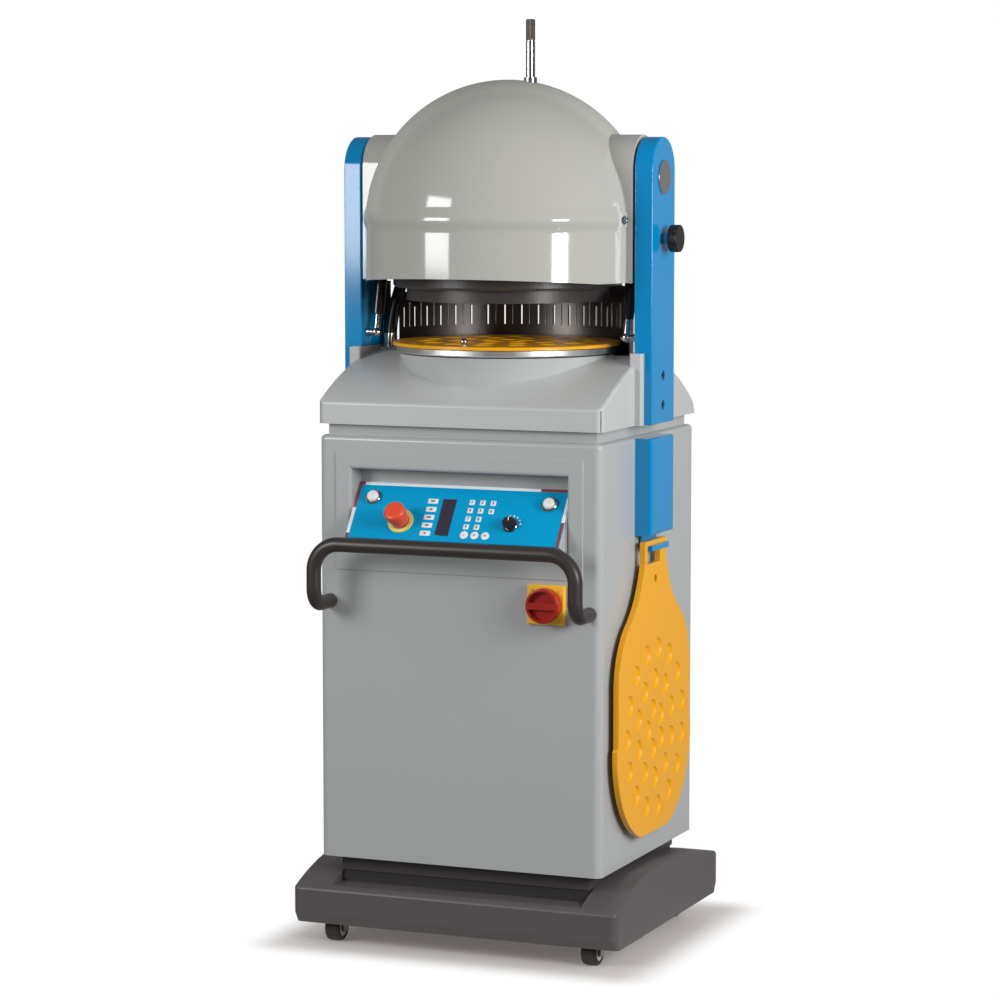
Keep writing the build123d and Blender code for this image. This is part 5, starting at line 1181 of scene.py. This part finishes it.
def plinth_rail():
    """A sheet rail round the upper half of the plinth, flush with the ledge at its foot."""
    low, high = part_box("plinth")
    width, depth = high[0] - low[0], high[1] - low[1]
    x, y, _ = middle_of("plinth")
    z = sum(RAIL_Z) / 2.0
    rail = block((width, depth, RAIL_Z[1] - RAIL_Z[0]), (x, y, z))
    edit(rail)
    pick(rail, "FACE", lambda face: abs(face.normal.z) > MOSTLY)
    bpy.ops.mesh.delete(type="FACE")
    leave_edit()
    sheet = rail.modifiers.new("sheet", "SOLIDIFY")
    sheet.thickness = RAIL_SHEET
    sheet.offset = -1.0
    bpy.ops.object.modifier_apply(modifier="sheet")

    def outer_foot(vertex):
        return (vertex.co.z < z and abs(vertex.co.x - x) > (width - RAIL_SHEET) / 2.0
                and abs(vertex.co.y - y) > (depth - RAIL_SHEET) / 2.0)

    bevel_edges(rail, lambda edge: all(map(outer_foot, edge.verts)), RAIL_CORNER, segments=3)
    dress(rail, "plinth_rail", "frame", rail_paint)


# Castor rims, rear louvres and screws, marks of the main switch

def castor_rims():
    """A dished rim in each side of every castor wheel."""
    inner, outer = RIM_R
    chamfer_in, chamfer_down = RIM_CHAMFER
    hub, hub_edge = RIM_HUB
    hub_top = RIM_SHEET - RIM_HUB_SUNK
    rim = turned([(inner, 0.0), (outer, 0.0), (outer, RIM_SHEET - chamfer_down),
                  (outer - chamfer_in, RIM_SHEET), (inner + hub_edge, RIM_SHEET), (inner + hub, hub_top),
                  (inner, hub_top), (inner, 0.0)], steps=36)
    for corner in CASTORS:
        low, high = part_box("castor_wheel_" + corner)
        _, y, z = middle_of("castor_wheel_" + corner)
        places = [shift(end - side * (RIM_SUNK + RIM_SHEET), y, z) @ turn("Y", side * 90.0)
                  for side, end in ((1.0, high[0]), (-1.0, low[0]))]
        pair = copies(rim, places, keep=True)
        dress(pair, "castor_rims_" + corner, "wheel_" + corner, rim_grey)
    bpy.data.objects.remove(rim)


def louvre_lip():
    """A pressed lip over one louvre: its lower edge stands out from the panel."""
    lip = block(LOUVRE_LIP, (0.0, LOUVRE_LIP[1] / 2.0, 0.0))
    edit(lip)
    pick(lip, "FACE", lambda face: face.normal.z < -MOSTLY)
    bpy.ops.transform.translate(value=(0.0, LOUVRE_LIP_OUT, 0.0))
    leave_edit()
    bevel_edges(lip, lambda edge: all(vertex.co.z < 0.0 for vertex in edge.verts), LOUVRE_LIP_CORNER,
                segments=2)
    return lip


def rear_louvres():
    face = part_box("rear_panel")[1][1]
    places = [shift(x, face, low + LOUVRE_PITCH * step + LOUVRE_LIP_UP)
              for low in LOUVRE_LOWS for step in range(LOUVRE_COUNT) for x in (-LOUVRE_X, LOUVRE_X)]
    lips = copies(louvre_lip(), places)
    dress(lips, "rear_louvre_lips", "frame", FINISHES["cabinet_paint"])


def rear_screws():
    low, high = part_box("rear_panel")
    screw = turned([(SCREW_R * across, SCREW_H * up) for across, up in SCREW_SHAPE], steps=28)
    run = high[2] - low[2] - 2.0 * SCREW_INSET
    heights = [low[2] + SCREW_INSET + run * step / (SCREW_ROWS - 1) for step in range(SCREW_ROWS)]
    places = [shift(x, high[1], height) @ turn("X", -90.0)
              for height in heights for x in (low[0] + SCREW_INSET, high[0] - SCREW_INSET)]
    dress(copies(screw, places), "rear_panel_screws", "frame", FINISHES["steel"])


def switch_marks():
    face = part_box("main_switch_plate")[0][1]
    x, _, z = middle_of("main_switch_plate")
    marks = []
    for sign, side in (("0", -1.0), ("1", 1.0)):
        place = shift(x + side * SWITCH_MARK_AT, face - MARK_RISE / 2.0, z + SWITCH_MARK_AT)
        marks.append(seat(lettering(sign, SWITCH_MARK), place @ turn("X", 90.0)))
    dress(joined(marks), "main_switch_marks", "frame", mark_ink)


panel_border()
menu_keys()
number_keys()
round_keys()
display_window()
timer_scale()
timer_skirt()
timer_pointer()
hood_bead()
hood_screw_caps()
guard_lips()
guard_folds()
guard_rim()
upright_shade_strips()
plinth_rail()
castor_rims()
rear_louvres()
rear_screws()
switch_marks()
